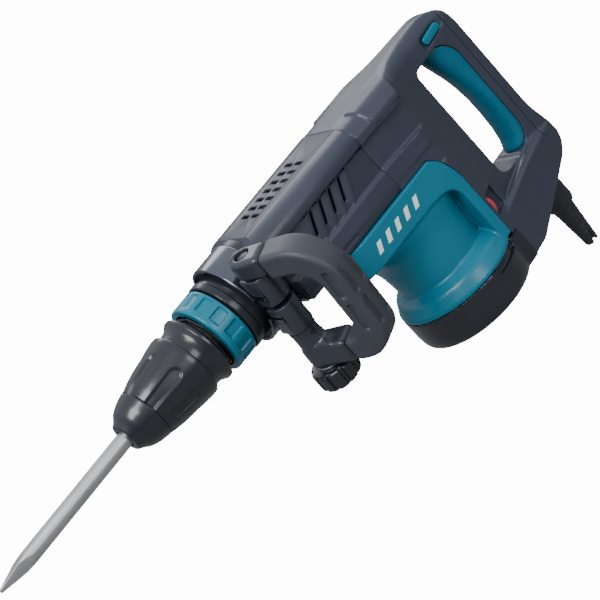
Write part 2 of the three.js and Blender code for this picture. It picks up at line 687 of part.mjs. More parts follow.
// The soft grip: [height, front, back] of its section.
const GRIP_STATIONS = [
  [79, 149.5, 156], [84, 151, 165], [92, 155, 171], [106, 158.5, 173], [128, 160, 173], [150, 159.6, 173],
  [172, 156.2, 173], [190, 151.5, 173], [206, 146, 173], [216, 142.8, 171],
  [225, 140, 164], [231, 138.5, 156],
];
const GRIP_BACK = [[130, 231], [157, 231, 8], [173, 214, 10], [173, 96, 10], [163, 80, 10], [130, 79]];
const GRIP_ROOM = [
  [130, 231.4], [157.4, 231.4, 8], [173.4, 214.2, 10], [173.4, 95.8, 10], [163.4, 79.6, 10], [130, 78.6],
];
const HANDLE_HOLE = [
  [110, 80, 10], [110, 231.5, 8], [136, 231.5, 2], [151, 190, 12], [159.5, 150, 20],
  [158, 104, 12], [147, 76, 6],
];

function dialDisc(radius, width, segments) {
  const disc = new THREE.CylinderGeometry(radius, radius, width, segments);
  disc.applyQuaternion(new THREE.Quaternion().setFromUnitVectors(new THREE.Vector3(0, 1, 0), DIAL_AXIS));
  return disc.translate(DIAL_CENTRE.x, DIAL_CENTRE.y, DIAL_CENTRE.z);
}

function dialSlot() {
  return toSolid(dialDisc(DIAL_RADIUS + 1, DIAL_WIDTH + 1.2, 20));
}

function makeRearHousing(blank) {
  const hole = alongY(HANDLE_HOLE, -40, 40, 5);
  const mainRoom = alongZ([
    [PARTING_X - 5, -50.5], [54, -50.5], [72, -40], [94, -27], [94, 27], [72, 40],
    [54, 50.5], [PARTING_X - 5, 50.5],
  ], 166, 262);
  const mainRoof = alongX([
    [-51, 160], [51, 160], [51, AXIS_Z + 12], [44, AXIS_Z + 34], [22, AXIS_Z + DECK_HEIGHT - 4],
    [-22, AXIS_Z + DECK_HEIGHT - 4], [-44, AXIS_Z + 34], [-51, AXIS_Z + 12],
  ], PARTING_X - 10, 96);
  const lowerRoom = alongZ([[60, -40], [72, -38], [92, -24], [92, 24], [72, 38], [60, 40]], 50, 170);
  const cordRoom = alongY([[80, 30], [92, 66], [176, 66], [176, 50], [150, 34], [92, 14], [80, 14]], -12, 12);
  const switchRoom = block(90, 146, -14, 14, 236.5, 256);
  const lever = alongY(LEVER_ROOM, -40, 40);
  const gripRoom = alongY(GRIP_ROOM, -30, 30);
  const backCover = block(184, 210, -30, 30, 66, 254);
  const dialRecess = alongZ(
    [[63.6, -60], [61.3, -49], [60, -48.2], [72, -41], [79, -38.6], [88, -60]], 67, 93);
  const cordHole = pinZ(-5, 70, 10.5, 20).translate([CORD_X, 0, 0]);
  return cut(
    blank, hole, mainRoom.intersect(mainRoof),
    lowerRoom, cordRoom, switchRoom, lever, gripRoom, backCover, dialSlot(), dialRecess, cordHole,
  );
}

function makeSoftGrip() {
  const half = 19.8;
  const whole = loftZ(GRIP_STATIONS.map(([z, front, back]) => {
    const middle = front + 0.72 * (back - front);
    const ring = [[back, -half]];
    for (let i = 0; i <= 12; i += 1) {
      const angle = (i * Math.PI) / 12;
      ring.push([middle - (middle - front) * Math.sin(angle), -half * Math.cos(angle)]);
    }
    ring.push([back, half]);
    return [z, ring.reverse()];
  }));
  return whole.intersect(alongY(GRIP_BACK, -30, 30));
}

function makeBackCover(blank) {
  return blank.intersect(block(184 + GAP, 210, -30, 30, 66 + GAP, 254 - GAP));
}

const rearBlank = makeRearBlank();
place(hammerLine, 'front_cover', makeFrontCover(), darkPlastic);
place(hammer, 'rear_housing', makeRearHousing(rearBlank), darkPlastic);
place(hammer, 'handle_back_cover', makeBackCover(rearBlank), darkPlastic);
place(hammer, 'soft_grip', makeSoftGrip(), tealGrip);

// ---------------------------------------------------------------- switch, speed dial and cord entry

function makeSpeedDial() {
  return toSolid(dialDisc(DIAL_RADIUS, DIAL_WIDTH, 28));
}

function makeCordGuard() {
  return turnedZ([
    [-67, 4.6], [-67, 8.6], [-8, 13.4], [-6, 13.4], [-6, 10], [34, 10], [34, 4.6],
  ], 20).translate([CORD_X, 0, 0]);
}

function makeCordBoot() {
  const ring = turnedZ([[-10, 14], [-10, 15.5], [-5, 17.5], [36, 17.5], [36, 14]], 20)
    .translate([CORD_X, 0, 0]);
  const above = alongY([[60, 3], [90, 3 - 0.4], [184, 36.4], [198, 49.6], [210, 80], [60, 80]], -30, 30);
  return cut(ring, above);
}

place(hammer, 'switch_lever', alongY(LEVER_OUTLINE, -22.5, 28), tealPlastic);
place(hammer, 'switch_body', block(112, 145, -12.5, 12.5, 238, 254), blackPlastic);
place(hammer, 'speed_controller', block(60.5, 84, -12, 20, 110, 160), blackPlastic);
place(hammer, 'speed_dial', makeSpeedDial(), redPlastic);
place(hammer, 'cord_boot', makeCordBoot(), blackRubber);
place(hammer, 'cord_guard', makeCordGuard(), blackRubber);

// ---------------------------------------------------------------- side handle
// Inside this group the bolt runs along Z, the clamp is on the -Y side of the barrel.

const STACK_HALF = 38; // clamp halves reach this far from their split
const ARM_TOP = 63;
const ARM_BOTTOM = -90;
const CLAMP_HOLE = 6.6;

function boltHole(radius) {
  return pinZ(-120, 120, radius, 16).translate([BOLT_X, -BOLT_OFFSET, 0]);
}

function makeClampBand() {
  const ring = turnedX([
    [BAND_FRONT_X, 48.6], [BAND_FRONT_X, BAND_RADIUS - 1], [BAND_FRONT_X + 1.5, BAND_RADIUS],
    [BAND_REAR_X - 1, BAND_RADIUS], [BAND_REAR_X, BAND_RADIUS - 1], [BAND_REAR_X, 48.6], [-180, 48.6],
    [-180, BARREL_RADIUS + GAP], [-198, BARREL_RADIUS + GAP], [-198, 48.6],
  ], 32);
  const split = block(-210, -165, -80, -20, -13.5, 13.5);
  const ear = (side) => block(-204, -172, -69, -49, side * 15.5 - 1.8, side * 15.5 + 1.8);
  return cut(join(cut(ring, split), ear(1), ear(-1)), boltHole(CLAMP_HOLE));
}

function makeClampHalf(side) {
  const z = [side * 3, side * STACK_HALF].sort((a, b) => a - b);
  const body = alongZ([
    [-205, -46], [-205, -66, 8], [-200, -77, 6], [-176, -77, 6], [-171, -70, 3], [-171, -46],
  ], z[0], z[1]);
  const bandRoom = pinX(-220, -160, BAND_RADIUS + GAP, 48);
  const earRoom = block(-210, -165, -69.4, -40, side * 15.5 - 2.2, side * 15.5 + 2.2);
  return cut(body, bandRoom, earRoom, boltHole(CLAMP_HOLE));
}

function makeClampBolt() {
  const head = new THREE.CylinderGeometry(9, 9, 6, 6).rotateX(Math.PI / 2).translate(0, 0, 58);
  return join(pinZ(-106, 56, 6, 16), toSolid(head)).translate([BOLT_X, -BOLT_OFFSET, 0]);
}

// The frame and its grip are drawn about the bolt axis, with the grip towards -Y.

const GRIP_NEAR = 70;
const GRIP_FAR = 100;
const RUBBER_TOP = 24; // where the rubber starts on the upper arm, from the bolt
const RUBBER_BOTTOM = 38; // and on the lower arm
const HAND_ROOM = [
  [30, STACK_HALF + 0.4], [30, -61], [-GRIP_NEAR + 12, -61, 14], [-GRIP_NEAR, -48, 10],
  [-GRIP_NEAR, 20, 10], [-GRIP_NEAR + 12, 33.6, 14], [-31, 33.6], [-26, STACK_HALF + 0.4],
];

// The steel-hard core that the rubber is moulded on, grown where it is used as a cutter.
function gripCore(grow) {
  const top = ARM_TOP - 8 + grow;
  const bottom = ARM_BOTTOM + 8 - grow;
  return alongX([
    [-20, top], [-20, top - 12 - 2 * grow], [-76 + grow, top - 12 - 2 * grow, 6], [-79 + grow, top - 22],
    [-79 + grow, bottom + 22], [-76 + grow, bottom + 12 + 2 * grow, 6], [-34, bottom + 12 + 2 * grow],
    [-34, bottom], [-82 - grow, bottom, 8], [-91 - grow, bottom + 12, 8], [-91 - grow, top - 12, 8],
    [-82 - grow, top, 8],
  ], -8 - grow, 8 + grow, 2);
}

function makeSideFrame() {
  const arms = alongX([
    [17, ARM_TOP, 3], [17, ARM_BOTTOM, 3], [-78, ARM_BOTTOM, 10], [-92, ARM_BOTTOM + 22, 12],
    [-92, ARM_TOP - 20, 12], [-76, ARM_TOP, 10],
  ], -17, 17);
  const lowerBoss = pinZ(-62, -STACK_HALF - 0.4, 16.5, 24);
  const upperBoss = pinZ(STACK_HALF + 0.4, 50, 16.5, 24);
  const armTrim = alongZ([[-17, 17, 12], [17, 17, 12], [17, -101], [-17, -101]], ARM_BOTTOM - 1, ARM_TOP + 1);
  const rubberRoom = alongX([
    [-RUBBER_TOP, ARM_TOP + 5], [-RUBBER_TOP, 0], [-RUBBER_BOTTOM, 0], [-RUBBER_BOTTOM, ARM_BOTTOM - 5],
    [-110, ARM_BOTTOM - 5], [-110, ARM_TOP + 5],
  ], -30, 30);
  const bodyArms = cut(arms.intersect(armTrim), alongX(HAND_ROOM, -30, 30), rubberRoom);
  const seat = pinZ(54.6, 70, 10.5, 20);
  return cut(join(bodyArms, lowerBoss, upperBoss, gripCore(0)), pinZ(-120, 80, CLAMP_HOLE, 16), seat);
}

function makeSideGrip() {
  const outer = alongX([
    [-RUBBER_TOP - 0.4, ARM_TOP], [-RUBBER_TOP - 0.4, 0], [-RUBBER_BOTTOM - 0.4, 0],
    [-RUBBER_BOTTOM - 0.4, ARM_BOTTOM], [-70, ARM_BOTTOM, 12], [-GRIP_FAR, ARM_BOTTOM + 22, 16],
    [-GRIP_FAR, ARM_TOP - 26, 16], [-72, ARM_TOP, 14],
  ], -16.5, 16.5, 4);
  return cut(outer, alongX(HAND_ROOM, -30, 30), gripCore(0.4));
}

function makeClampKnob() {
  const lobes = 8;
  const corners = [];
  for (let i = 0; i < lobes; i += 1) {
    const middle = (i * 2 * Math.PI) / lobes;
    [[25, -0.26], [25, 0.26], [22.5, 0.36], [22.5, 0.43]].forEach(([radius, offset]) => {
      corners.push([radius * Math.cos(middle + offset), radius * Math.sin(middle + offset)]);
    });
  }
  const body = alongZ(corners, ARM_BOTTOM - 27, ARM_BOTTOM - 3.1);
  return cut(body, pinZ(-113, -80, 6.4, 16)).translate([BOLT_X, -BOLT_OFFSET, 0]);
}

place(sideHandle, 'clamp_band', makeClampBand(), darkSteel);
place(sideHandle, 'upper_clamp_half', makeClampHalf(1), darkPlastic);
place(sideHandle, 'lower_clamp_half', makeClampHalf(-1), darkPlastic);
place(sideHandle, 'clamp_bolt', makeClampBolt(), darkSteel);
const washer = tubeZ(ARM_BOTTOM - 2.7, ARM_BOTTOM - 0.4, 6.4, 14, 24);
place(sideHandle, 'clamp_washer', washer.translate([BOLT_X, -BOLT_OFFSET, 0]), satinSteel);
place(sideHandle, 'clamp_knob', makeClampKnob(), blackPlastic);
place(sideGrip, 'side_handle_frame', makeSideFrame(), darkPlastic);
place(sideGrip, 'side_handle_grip', makeSideGrip(), blackRubber);

export default hammer;
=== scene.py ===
"""Looks of the electric demolition hammer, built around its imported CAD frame.

Lengths in this file are millimetres in the row frame (X along the hammer line with the nose towards -X, Z up);
they are turned into metres where a mesh is made.
"""
import json
import math

import bmesh
import bpy
import numpy as np
from mathutils import Matrix, Vector


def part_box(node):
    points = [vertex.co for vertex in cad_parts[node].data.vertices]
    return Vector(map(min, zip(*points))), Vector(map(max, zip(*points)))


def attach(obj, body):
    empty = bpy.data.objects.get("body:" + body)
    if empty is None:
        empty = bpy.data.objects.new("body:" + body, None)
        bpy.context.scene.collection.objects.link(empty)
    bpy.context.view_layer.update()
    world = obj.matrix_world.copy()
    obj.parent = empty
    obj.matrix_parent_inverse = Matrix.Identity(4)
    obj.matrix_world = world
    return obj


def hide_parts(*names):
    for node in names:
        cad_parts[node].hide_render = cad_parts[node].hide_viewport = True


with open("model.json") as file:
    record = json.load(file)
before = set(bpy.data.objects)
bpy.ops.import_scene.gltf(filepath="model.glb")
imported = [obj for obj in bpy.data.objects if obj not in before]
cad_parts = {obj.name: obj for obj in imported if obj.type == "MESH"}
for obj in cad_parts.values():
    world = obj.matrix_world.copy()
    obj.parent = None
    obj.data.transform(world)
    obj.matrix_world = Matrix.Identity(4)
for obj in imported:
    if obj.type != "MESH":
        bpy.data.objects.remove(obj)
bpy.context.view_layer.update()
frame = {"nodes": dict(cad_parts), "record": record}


# ---------------------------------------------------------------- places taken from the frame

def low(node):
    return [v * 1000 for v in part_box(node)[0]]


def high(node):
    return [v * 1000 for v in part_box(node)[1]]


AXIS_Z = (low("barrel")[2] + high("barrel")[2]) / 2
PARTING_X = high("front_cover")[0]
COVER_FRONT_X = low("front_cover")[0]
MOTOR_TOP_Z = high("motor_housing")[2]
CAP_TOP_Z = high("end_cap")[2]
CAP_REAR_X = high("end_cap")[0]
BOLT_X = (low("clamp_washer")[0] + high("clamp_washer")[0]) / 2
BOLT_OFFSET = 60.0
SIDE_ROLL = math.radians(10)
SIDE_SWING = math.radians(22.5)
CORD_X = (low("cord_guard")[0] + high("cord_guard")[0]) / 2
DIAL_RADIUS = (high("speed_dial")[2] - low("speed_dial")[2]) / 2


# ---------------------------------------------------------------- camera, light and floor

def set_camera():
    yaw = math.radians(21.5)
    lift = math.radians(19.5)
    turn = math.radians(43.94)
    aim = Vector((-0.154, -0.013, 0.1688))
    ahead = Vector((math.sin(yaw) * math.cos(lift), math.cos(yaw) * math.cos(lift), -math.sin(lift)))
    level = Vector((math.cos(yaw), -math.sin(yaw), 0))
    above = level.cross(ahead)
    right = level * math.cos(turn) - above * math.sin(turn)
    up = level * math.sin(turn) + above * math.cos(turn)
    place = aim - ahead * 1.9
    data = bpy.data.cameras.new("camera")
    data.sensor_width = 36
    data.lens = 111.72
    data.clip_end = 100
    camera = bpy.data.objects.new("camera", data)
    matrix = Matrix((right, up, -ahead)).transposed().to_4x4()
    matrix.translation = place
    camera.matrix_world = matrix
    bpy.context.scene.collection.objects.link(camera)
    bpy.context.scene.camera = camera


def area_light(name, place, aim, size, power, colour=(1, 1, 1)):
    data = bpy.data.lights.new(name, "AREA")
    data.shape = "RECTANGLE"
    data.size, data.size_y = size
    data.energy = power
    data.color = colour
    lamp = bpy.data.objects.new(name, data)
    lamp.location = place
    lamp.rotation_euler = (Vector(aim) - Vector(place)).to_track_quat("-Z", "Y").to_euler()
    bpy.context.scene.collection.objects.link(lamp)


def set_studio():
    """Bright soft sky above, a darker band below the horizon."""
    world = bpy.data.worlds.new("studio")
    bpy.context.scene.world = world
    world.use_nodes = True
    nodes, links = world.node_tree.nodes, world.node_tree.links
    where = nodes.new("ShaderNodeTexCoord")
    parts = nodes.new("ShaderNodeSeparateXYZ")
    ramp = nodes.new("ShaderNodeMapRange")
    ramp.inputs["From Min"].default_value = -0.15
    ramp.inputs["From Max"].default_value = 0.75
    ramp.inputs["To Min"].default_value = 0.10
    ramp.inputs["To Max"].default_value = 1.0
    links.new(where.outputs["Generated"], parts.inputs["Vector"])
    links.new(parts.outputs["Z"], ramp.inputs["Value"])
    seen = nodes.new("ShaderNodeLightPath")
    either = nodes.new("ShaderNodeMix")
    either.inputs["B"].default_value = 14.0
    links.new(seen.outputs["Is Camera Ray"], either.inputs["Factor"])
    links.new(ramp.outputs["Result"], either.inputs["A"])
    links.new(either.outputs["Result"], nodes["Background"].inputs["Strength"])
    nodes["Background"].inputs["Color"].default_value = (0.9, 0.95, 1, 1)
    area_light("upper_left_light", (-1.1, -0.9, 1.9), (-0.15, 0, 0.15), (1.0, 1.0), 38)
    area_light("front_light", (0.3, -2.0, 0.9), (-0.1, 0, 0.15), (0.7, 0.9), 9)
    area_light("rear_light", (0.9, 1.3, 1.3), (0.0, 0, 0.2), (1.2, 0.8), 10)


def pale_floor():
    """Pale to the eye, and dim to the object, so that undersides stay dark."""
    material = bpy.data.materials.new("pale floor")
    material.use_nodes = True
    nodes, links = material.node_tree.nodes, material.node_tree.links
    seen = nodes.new("ShaderNodeLightPath")
    glow = nodes.new("ShaderNodeEmission")
    glow.inputs["Strength"].default_value = 14.0
    mix = nodes.new("ShaderNodeMixShader")
    nodes["Principled BSDF"].inputs["Base Color"].default_value = (0.22, 0.22, 0.22, 1)
    nodes["Principled BSDF"].inputs["Roughness"].default_value = 0.9
    links.new(seen.outputs["Is Camera Ray"], mix.inputs["Fac"])
    links.new(nodes["Principled BSDF"].outputs["BSDF"], mix.inputs[1])
    links.new(glow.outputs["Emission"], mix.inputs[2])
    links.new(mix.outputs["Shader"], nodes["Material Output"].inputs["Surface"])
    return material


# ---------------------------------------------------------------- finishes

def linear(code):
    channels = [int(code[i:i + 2], 16) / 255 for i in (0, 2, 4)]
    return tuple(c / 12.92 if c <= 0.04045 else ((c + 0.055) / 1.055) ** 2.4 for c in channels)


def socket(group, name, kind, inward, value=None):
    item = group.interface.new_socket(name, in_out="INPUT" if inward else "OUTPUT", socket_type=kind)
    if value is not None:
        item.default_value = value
    return item


def make_moulded_surface():
    """Grain, blotches and handling marks shared by every moulded, cast or machined surface."""
    group = bpy.data.node_groups.new("moulded surface", "ShaderNodeTree")
    socket(group, "Colour", "NodeSocketColor", True, (0.1, 0.1, 0.1, 1))
    socket(group, "Roughness", "NodeSocketFloat", True, 0.5)
    socket(group, "Grain Size", "NodeSocketFloat", True, 1500.0)
    socket(group, "Grain Depth", "NodeSocketFloat", True, 0.1)
    socket(group, "Blotch", "NodeSocketFloat", True, 0.06)
    socket(group, "Stretch", "NodeSocketVector", True, (1, 1, 1))
    socket(group, "Base Color", "NodeSocketColor", False)
    socket(group, "Roughness", "NodeSocketFloat", False)
    socket(group, "Normal", "NodeSocketVector", False)
    nodes, links = group.nodes, group.links
    entry = nodes.new("NodeGroupInput")
    leave = nodes.new("NodeGroupOutput")
    where = nodes.new("ShaderNodeTexCoord")
    scaled = nodes.new("ShaderNodeVectorMath")
    scaled.operation = "MULTIPLY"
    links.new(where.outputs["Object"], scaled.inputs[0])
    links.new(entry.outputs["Stretch"], scaled.inputs[1])
    grain = nodes.new("ShaderNodeTexNoise")
    grain.inputs["Detail"].default_value = 3
    links.new(scaled.outputs["Vector"], grain.inputs["Vector"])
    links.new(entry.outputs["Grain Size"], grain.inputs["Scale"])
    blotch = nodes.new("ShaderNodeTexNoise")
    blotch.inputs["Scale"].default_value = 22
    blotch.inputs["Detail"].default_value = 5
    links.new(where.outputs["Object"], blotch.inputs["Vector"])
    spread = nodes.new("ShaderNodeMapRange")
    spread.inputs["From Min"].default_value = 0.3
    spread.inputs["From Max"].default_value = 0.7
    spread.inputs["To Min"].default_value = -1
    links.new(blotch.outputs["Fac"], spread.inputs["Value"])
    amount = nodes.new("ShaderNodeMath")
    amount.operation = "MULTIPLY"
    links.new(spread.outputs["Result"], amount.inputs[0])
    links.new(entry.outputs["Blotch"], amount.inputs[1])
    shade = nodes.new("ShaderNodeMath")
    shade.operation = "ADD"
    shade.inputs[1].default_value = 1
    links.new(amount.outputs["Value"], shade.inputs[0])
    tint = nodes.new("ShaderNodeVectorMath")
    tint.operation = "SCALE"
    links.new(entry.outputs["Colour"], tint.inputs[0])
    links.new(shade.outputs["Value"], tint.inputs["Scale"])
    rough = nodes.new("ShaderNodeMath")
    rough.operation = "MULTIPLY_ADD"
    rough.use_clamp = True
    links.new(amount.outputs["Value"], rough.inputs[0])
    rough.inputs[1].default_value = 0.8
    links.new(entry.outputs["Roughness"], rough.inputs[2])
    bump = nodes.new("ShaderNodeBump")
    bump.inputs["Distance"].default_value = 0.0002
    links.new(grain.outputs["Fac"], bump.inputs["Height"])
    links.new(entry.outputs["Grain Depth"], bump.inputs["Strength"])
    links.new(tint.outputs["Vector"], leave.inputs["Base Color"])
    links.new(rough.outputs["Value"], leave.inputs["Roughness"])
    links.new(bump.outputs["Normal"], leave.inputs["Normal"])
    return group


MOULDED = make_moulded_surface()


def surface(name, code, roughness, metallic=0.0, grain=1500.0, depth=0.25, blotch=0.06, stretch=(1, 1, 1),
            coat=0.0, specular=0.5):
    material = bpy.data.materials.new(name)
    material.use_nodes = True
    nodes, links = material.node_tree.nodes, material.node_tree.links
    shader = nodes["Principled BSDF"]
    look = nodes.new("ShaderNodeGroup")
    look.node_tree = MOULDED
    look.inputs["Colour"].default_value = (*linear(code), 1)
    look.inputs["Roughness"].default_value = roughness
    look.inputs["Grain Size"].default_value = grain
    look.inputs["Grain Depth"].default_value = depth
    look.inputs["Blotch"].default_value = blotch
    look.inputs["Stretch"].default_value = stretch
    links.new(look.outputs["Base Color"], shader.inputs["Base Color"])
    links.new(look.outputs["Roughness"], shader.inputs["Roughness"])
    links.new(look.outputs["Normal"], shader.inputs["Normal"])
    shader.inputs["Metallic"].default_value = metallic
    shader.inputs["Coat Weight"].default_value = coat
    shader.inputs["Coat Roughness"].default_value = 0.15
    shader.inputs["Specular IOR Level"].default_value = specular
    material.diffuse_color = (*linear(code), 1)
    return material


LOOKS = {
    "dark_plastic": surface("dark grey plastic", "343947", 0.36, depth=0.25),
    "black_plastic": surface("black plastic", "1c1f27", 0.26, depth=0.08, blotch=0.02, coat=0.3),
    "teal_plastic": surface("teal plastic", "00718a", 0.3, depth=0.12, blotch=0.04),
    "teal_grip": surface("teal soft grip", "01607a", 0.42, depth=0.3, blotch=0.05),
    "black_rubber": surface("black rubber", "24272e", 0.42, grain=1100, depth=0.35, blotch=0.1),
    "satin_steel": surface("satin steel", "bfc2c2", 0.44, 1.0, grain=900, depth=0.03, stretch=(0.04, 1, 1)),
    "dark_steel": surface("polished dark steel", "6a6f79", 0.2, 1.0, grain=900, depth=0.05,
                          stretch=(1, 0.05, 0.05)),
    "cast_metal": surface("dark cast metal", "2b2e36", 0.26, 0.3, grain=700, depth=0.15, blotch=0.12),
    "copper": surface("enamelled copper", "b3653a", 0.4, 0.8, grain=700, depth=0.5),
    "graphite": surface("pressed carbon", "1d1d1f", 0.7, grain=900, depth=0.4),
    "red_plastic": surface("red plastic", "c84455", 0.4, depth=0.2),
}
HANDLE_PLASTIC = surface("side handle plastic", "2c303a", 0.3, depth=0.12, blotch=0.03, coat=0.25)
GRIP_RUBBER = surface("side grip rubber", "3b3e47", 0.5, grain=1000, depth=0.45, blotch=0.1)
WHITE_PRINT = surface("white print", "f2f4f4", 0.45, depth=0.05, blotch=0.02)


# ---------------------------------------------------------------- shapes

def mesh_object(name, verts, faces):
    """Vertices in millimetres, faces as index lists."""
    mesh = bpy.data.meshes.new(name)
    mesh.from_pydata([tuple(float(c) * 0.001 for c in v) for v in verts], [],
                     [list(map(int, f)) for f in faces])
    work = bmesh.new()
    work.from_mesh(mesh)
    bmesh.ops.remove_doubles(work, verts=work.verts, dist=1e-7)
    bmesh.ops.dissolve_degenerate(work, edges=work.edges, dist=1e-8)
    bmesh.ops.recalc_face_normals(work, faces=work.faces)
    work.to_mesh(mesh)
    work.free()
    piece = bpy.data.objects.new(name, mesh)
    bpy.context.scene.collection.objects.link(piece)
    return piece


def rounded(corners, steps=6, closed=True):
    """Points of an outline whose corners are (a, b, rounding)."""
    points = []
    count = len(corners)
    for i, corner in enumerate(corners):
        here = np.array(corner[:2], float)
        reach = corner[2] if len(corner) > 2 else 0
        if reach == 0 or (not closed and i in (0, count - 1)):
            points.append(here)
            continue
        before = np.array(corners[i - 1][:2], float) - here
        after = np.array(corners[(i + 1) % count][:2], float) - here
        reach = min(reach, 0.48 * np.linalg.norm(before), 0.48 * np.linalg.norm(after))
        start = here + before / np.linalg.norm(before) * reach
        end = here + after / np.linalg.norm(after) * reach
        for t in np.linspace(0, 1, steps + 1):
            points.append((1 - t) ** 2 * start + 2 * t * (1 - t) * here + t * t * end)
    return points


def prism(corners, axis, a, b, steps=6, name="work"):
    """An outline pushed along an axis. It is (y, z) for X, (x, z) for Y and (x, y) for Z."""
    points = rounded(corners, steps)
    count = len(points)
    order = {"X": lambda p, s: (s, p[0], p[1]), "Y": lambda p, s: (p[0], s, p[1]),
             "Z": lambda p, s: (p[0], p[1], s)}
    verts = [order[axis](p, a) for p in points] + [order[axis](p, b) for p in points]
    faces = [[i, (i + 1) % count, count + (i + 1) % count, count + i] for i in range(count)]
    faces += [list(range(count))[::-1], list(range(count, 2 * count))]
    return mesh_object(name, verts, faces)


def box(x0, x1, y0, y1, z0, z1):
    return prism([(x0, y0), (x1, y0), (x1, y1), (x0, y1)], "Z", z0, z1)


def refined(points, step, closed):
    """The same line with extra points, so that no stretch is longer than step."""
    line = []
    count = len(points)
    for i in range(count if closed else count - 1):
        start, end = np.array(points[i], float), np.array(points[(i + 1) % count], float)
        parts = max(1, int(math.ceil(np.linalg.norm(end - start) / step)))
        line += [start + (end - start) * k / parts for k in range(parts)]
    if not closed:
        line.append(np.array(points[-1], float))
    return line


def turned(name, profile, axis="X", centre=(0, 0), segments=128, step=50, dent=None, closed=True, steps=5):
    """A ring, or a disc if not closed, turned about a line parallel to X or Z.

    The profile is (along, radius, rounding).
    """
    line = np.array(refined(rounded(profile, steps, closed), step, closed))
    angles = np.linspace(0, 2 * math.pi, segments, endpoint=False)
    along = np.repeat(line[:, 0][:, None], segments, 1)
    radius = np.repeat(line[:, 1][:, None], segments, 1)
    around = np.repeat(angles[None, :], len(line), 0)
    if dent:
        radius = dent(along, radius, around)
    first, second = radius * np.cos(around), radius * np.sin(around)
    if axis == "X":
        verts = np.stack([along, first + centre[0], second + centre[1]], -1)
    else:
        verts = np.stack([first + centre[0], second + centre[1], along], -1)
    rows = len(line)
    faces = []
    for i in range(rows if closed else rows - 1):
        j = (i + 1) % rows
        for k in range(segments):
            m = (k + 1) % segments
            faces.append([i * segments + k, i * segments + m, j * segments + m, j * segments + k])
    return mesh_object(name, verts.reshape(-1, 3), faces)


def bake(piece):
    """Turns the piece's modifiers into its mesh."""
    graph = bpy.context.evaluated_depsgraph_get()
    mesh = bpy.data.meshes.new_from_object(piece.evaluated_get(graph))
    piece.modifiers.clear()
    old, piece.data = piece.data, mesh
    bpy.data.meshes.remove(old)
    return piece


def discard(piece):
    mesh = piece.data
    bpy.data.objects.remove(piece)
    bpy.data.meshes.remove(mesh)


def boolean(operation, piece, *tools):
    for tool in tools:
        change = piece.modifiers.new("boolean", "BOOLEAN")
        change.operation = operation
        change.solver = "EXACT"
        change.object = tool
        bake(piece)
        discard(tool)
    return piece


def join(piece, *tools):
    return boolean("UNION", piece, *tools)


def cut(piece, *tools):
    return boolean("DIFFERENCE", piece, *tools)


def common(piece, *tools):
    return boolean("INTERSECT", piece, *tools)


def moulded(piece, grid, passes=4):
    """Softens every edge, as on a moulded part, by rebuilding the surface on a fine grid."""
    remesh = piece.modifiers.new("grid", "REMESH")
    remesh.mode = "VOXEL"
    remesh.voxel_size = grid * 0.001
    soften = piece.modifiers.new("soften", "SMOOTH")
    soften.factor = 0.5
    soften.iterations = passes
    return bake(piece)


def bevelled(piece, width, segments=3, angle=30):
    bevel = piece.modifiers.new("bevel", "BEVEL")
    bevel.width = width * 0.001
    bevel.segments = segments
    bevel.limit_method = "ANGLE"
    bevel.angle_limit = math.radians(angle)
    bevel.harden_normals = False
    bevel.use_clamp_overlap = False
    return bake(piece)


def shade(piece, angle=None):
    mesh = piece.data
    mesh.polygons.foreach_set("use_smooth", [True] * len(mesh.polygons))
    if angle is None:
        return piece
    work = bmesh.new()
    work.from_mesh(mesh)
    limit = math.radians(angle)
    for edge in work.edges:
        if len(edge.link_faces) == 2 and edge.calc_face_angle(0) > limit:
            edge.smooth = False
    work.to_mesh(mesh)
    work.free()
    return piece


def dress(piece, look, body, *nodes, angle=35, name=None):
    """Gives a finished piece its look and its body, and hides the CAD nodes that it stands for."""
    piece.name = name or (nodes[0] + "_shape" if nodes else piece.name)
    piece.data.materials.clear()
    piece.data.materials.append(LOOKS[look] if isinstance(look, str) else look)
    shade(piece, angle)
    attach(piece, body)
    if nodes:
        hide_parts(*nodes)
    return piece


def wave(value, low_end, high_end):
    """Smooth step from 0 at low_end to 1 at high_end."""
    t = np.clip((value - low_end) / (high_end - low_end), 0, 1)
    return t * t * (3 - 2 * t)


def fold_angle(around, count, shift=0.0):
    """Angle from the middle of the nearest of count equal sectors."""
    sector = 2 * math.pi / count
    return np.mod(around + shift + sector / 2, sector) - sector / 2


# ---------------------------------------------------------------- chisel, nose and sleeve

def make_chisel():
    tip, rear = low("bull_point")[0], high("bull_point")[0]
    radius = 9.0
    shank = turned("work", [(tip, 0), (tip, radius), (rear, radius), (rear, 0)], centre=(0, AXIS_Z),
                   closed=False,
                   segments=96)
    slope = (radius * math.sqrt(2) - 2.4) / 46
    near, far = 2.4, 2.4 + slope * (rear - tip + 1)
    verts = []
    for x, reach in ((tip - 1, near - slope), (rear + 1, far + slope)):
        verts += [(x, reach * math.cos(a), AXIS_Z + reach * math.sin(a))
                  for a in np.arange(4) * math.pi / 2 + math.pi / 4]
    faces = [[0, 1, 2, 3], [7, 6, 5, 4]] + [[i, (i + 1) % 4, 4 + (i + 1) % 4, 4 + i] for i in range(4)]
    common(shank, mesh_object("work", verts, faces))
    grooves = [box(-353, -312, -4.5, 4.5, AXIS_Z + s * 7.6 - 1.6, AXIS_Z + s * 7.6 + 1.6) for s in (1, -1)]
    cut(shank, *grooves)
    dress(bevelled(shank, 0.5, 2, 25), "satin_steel", "chisel", "bull_point", angle=40)


def make_nose():
    profile = [(-382, 10.5), (-382, 13, 1), (-381.6, 16.5, 2), (-375.5, 20.2, 3), (-371, 24.6, 4),
               (-361, 28.9, 4), (-349.4, 31.4, 1), (-349.4, 17.3), (-376.6, 17.3), (-376.6, 10.5)]
    nose = dress(turned("work", profile, centre=(0, AXIS_Z), step=3), "black_rubber", "holder", "nose_cap")
    nose.data.materials[0] = LOOKS["black_plastic"]


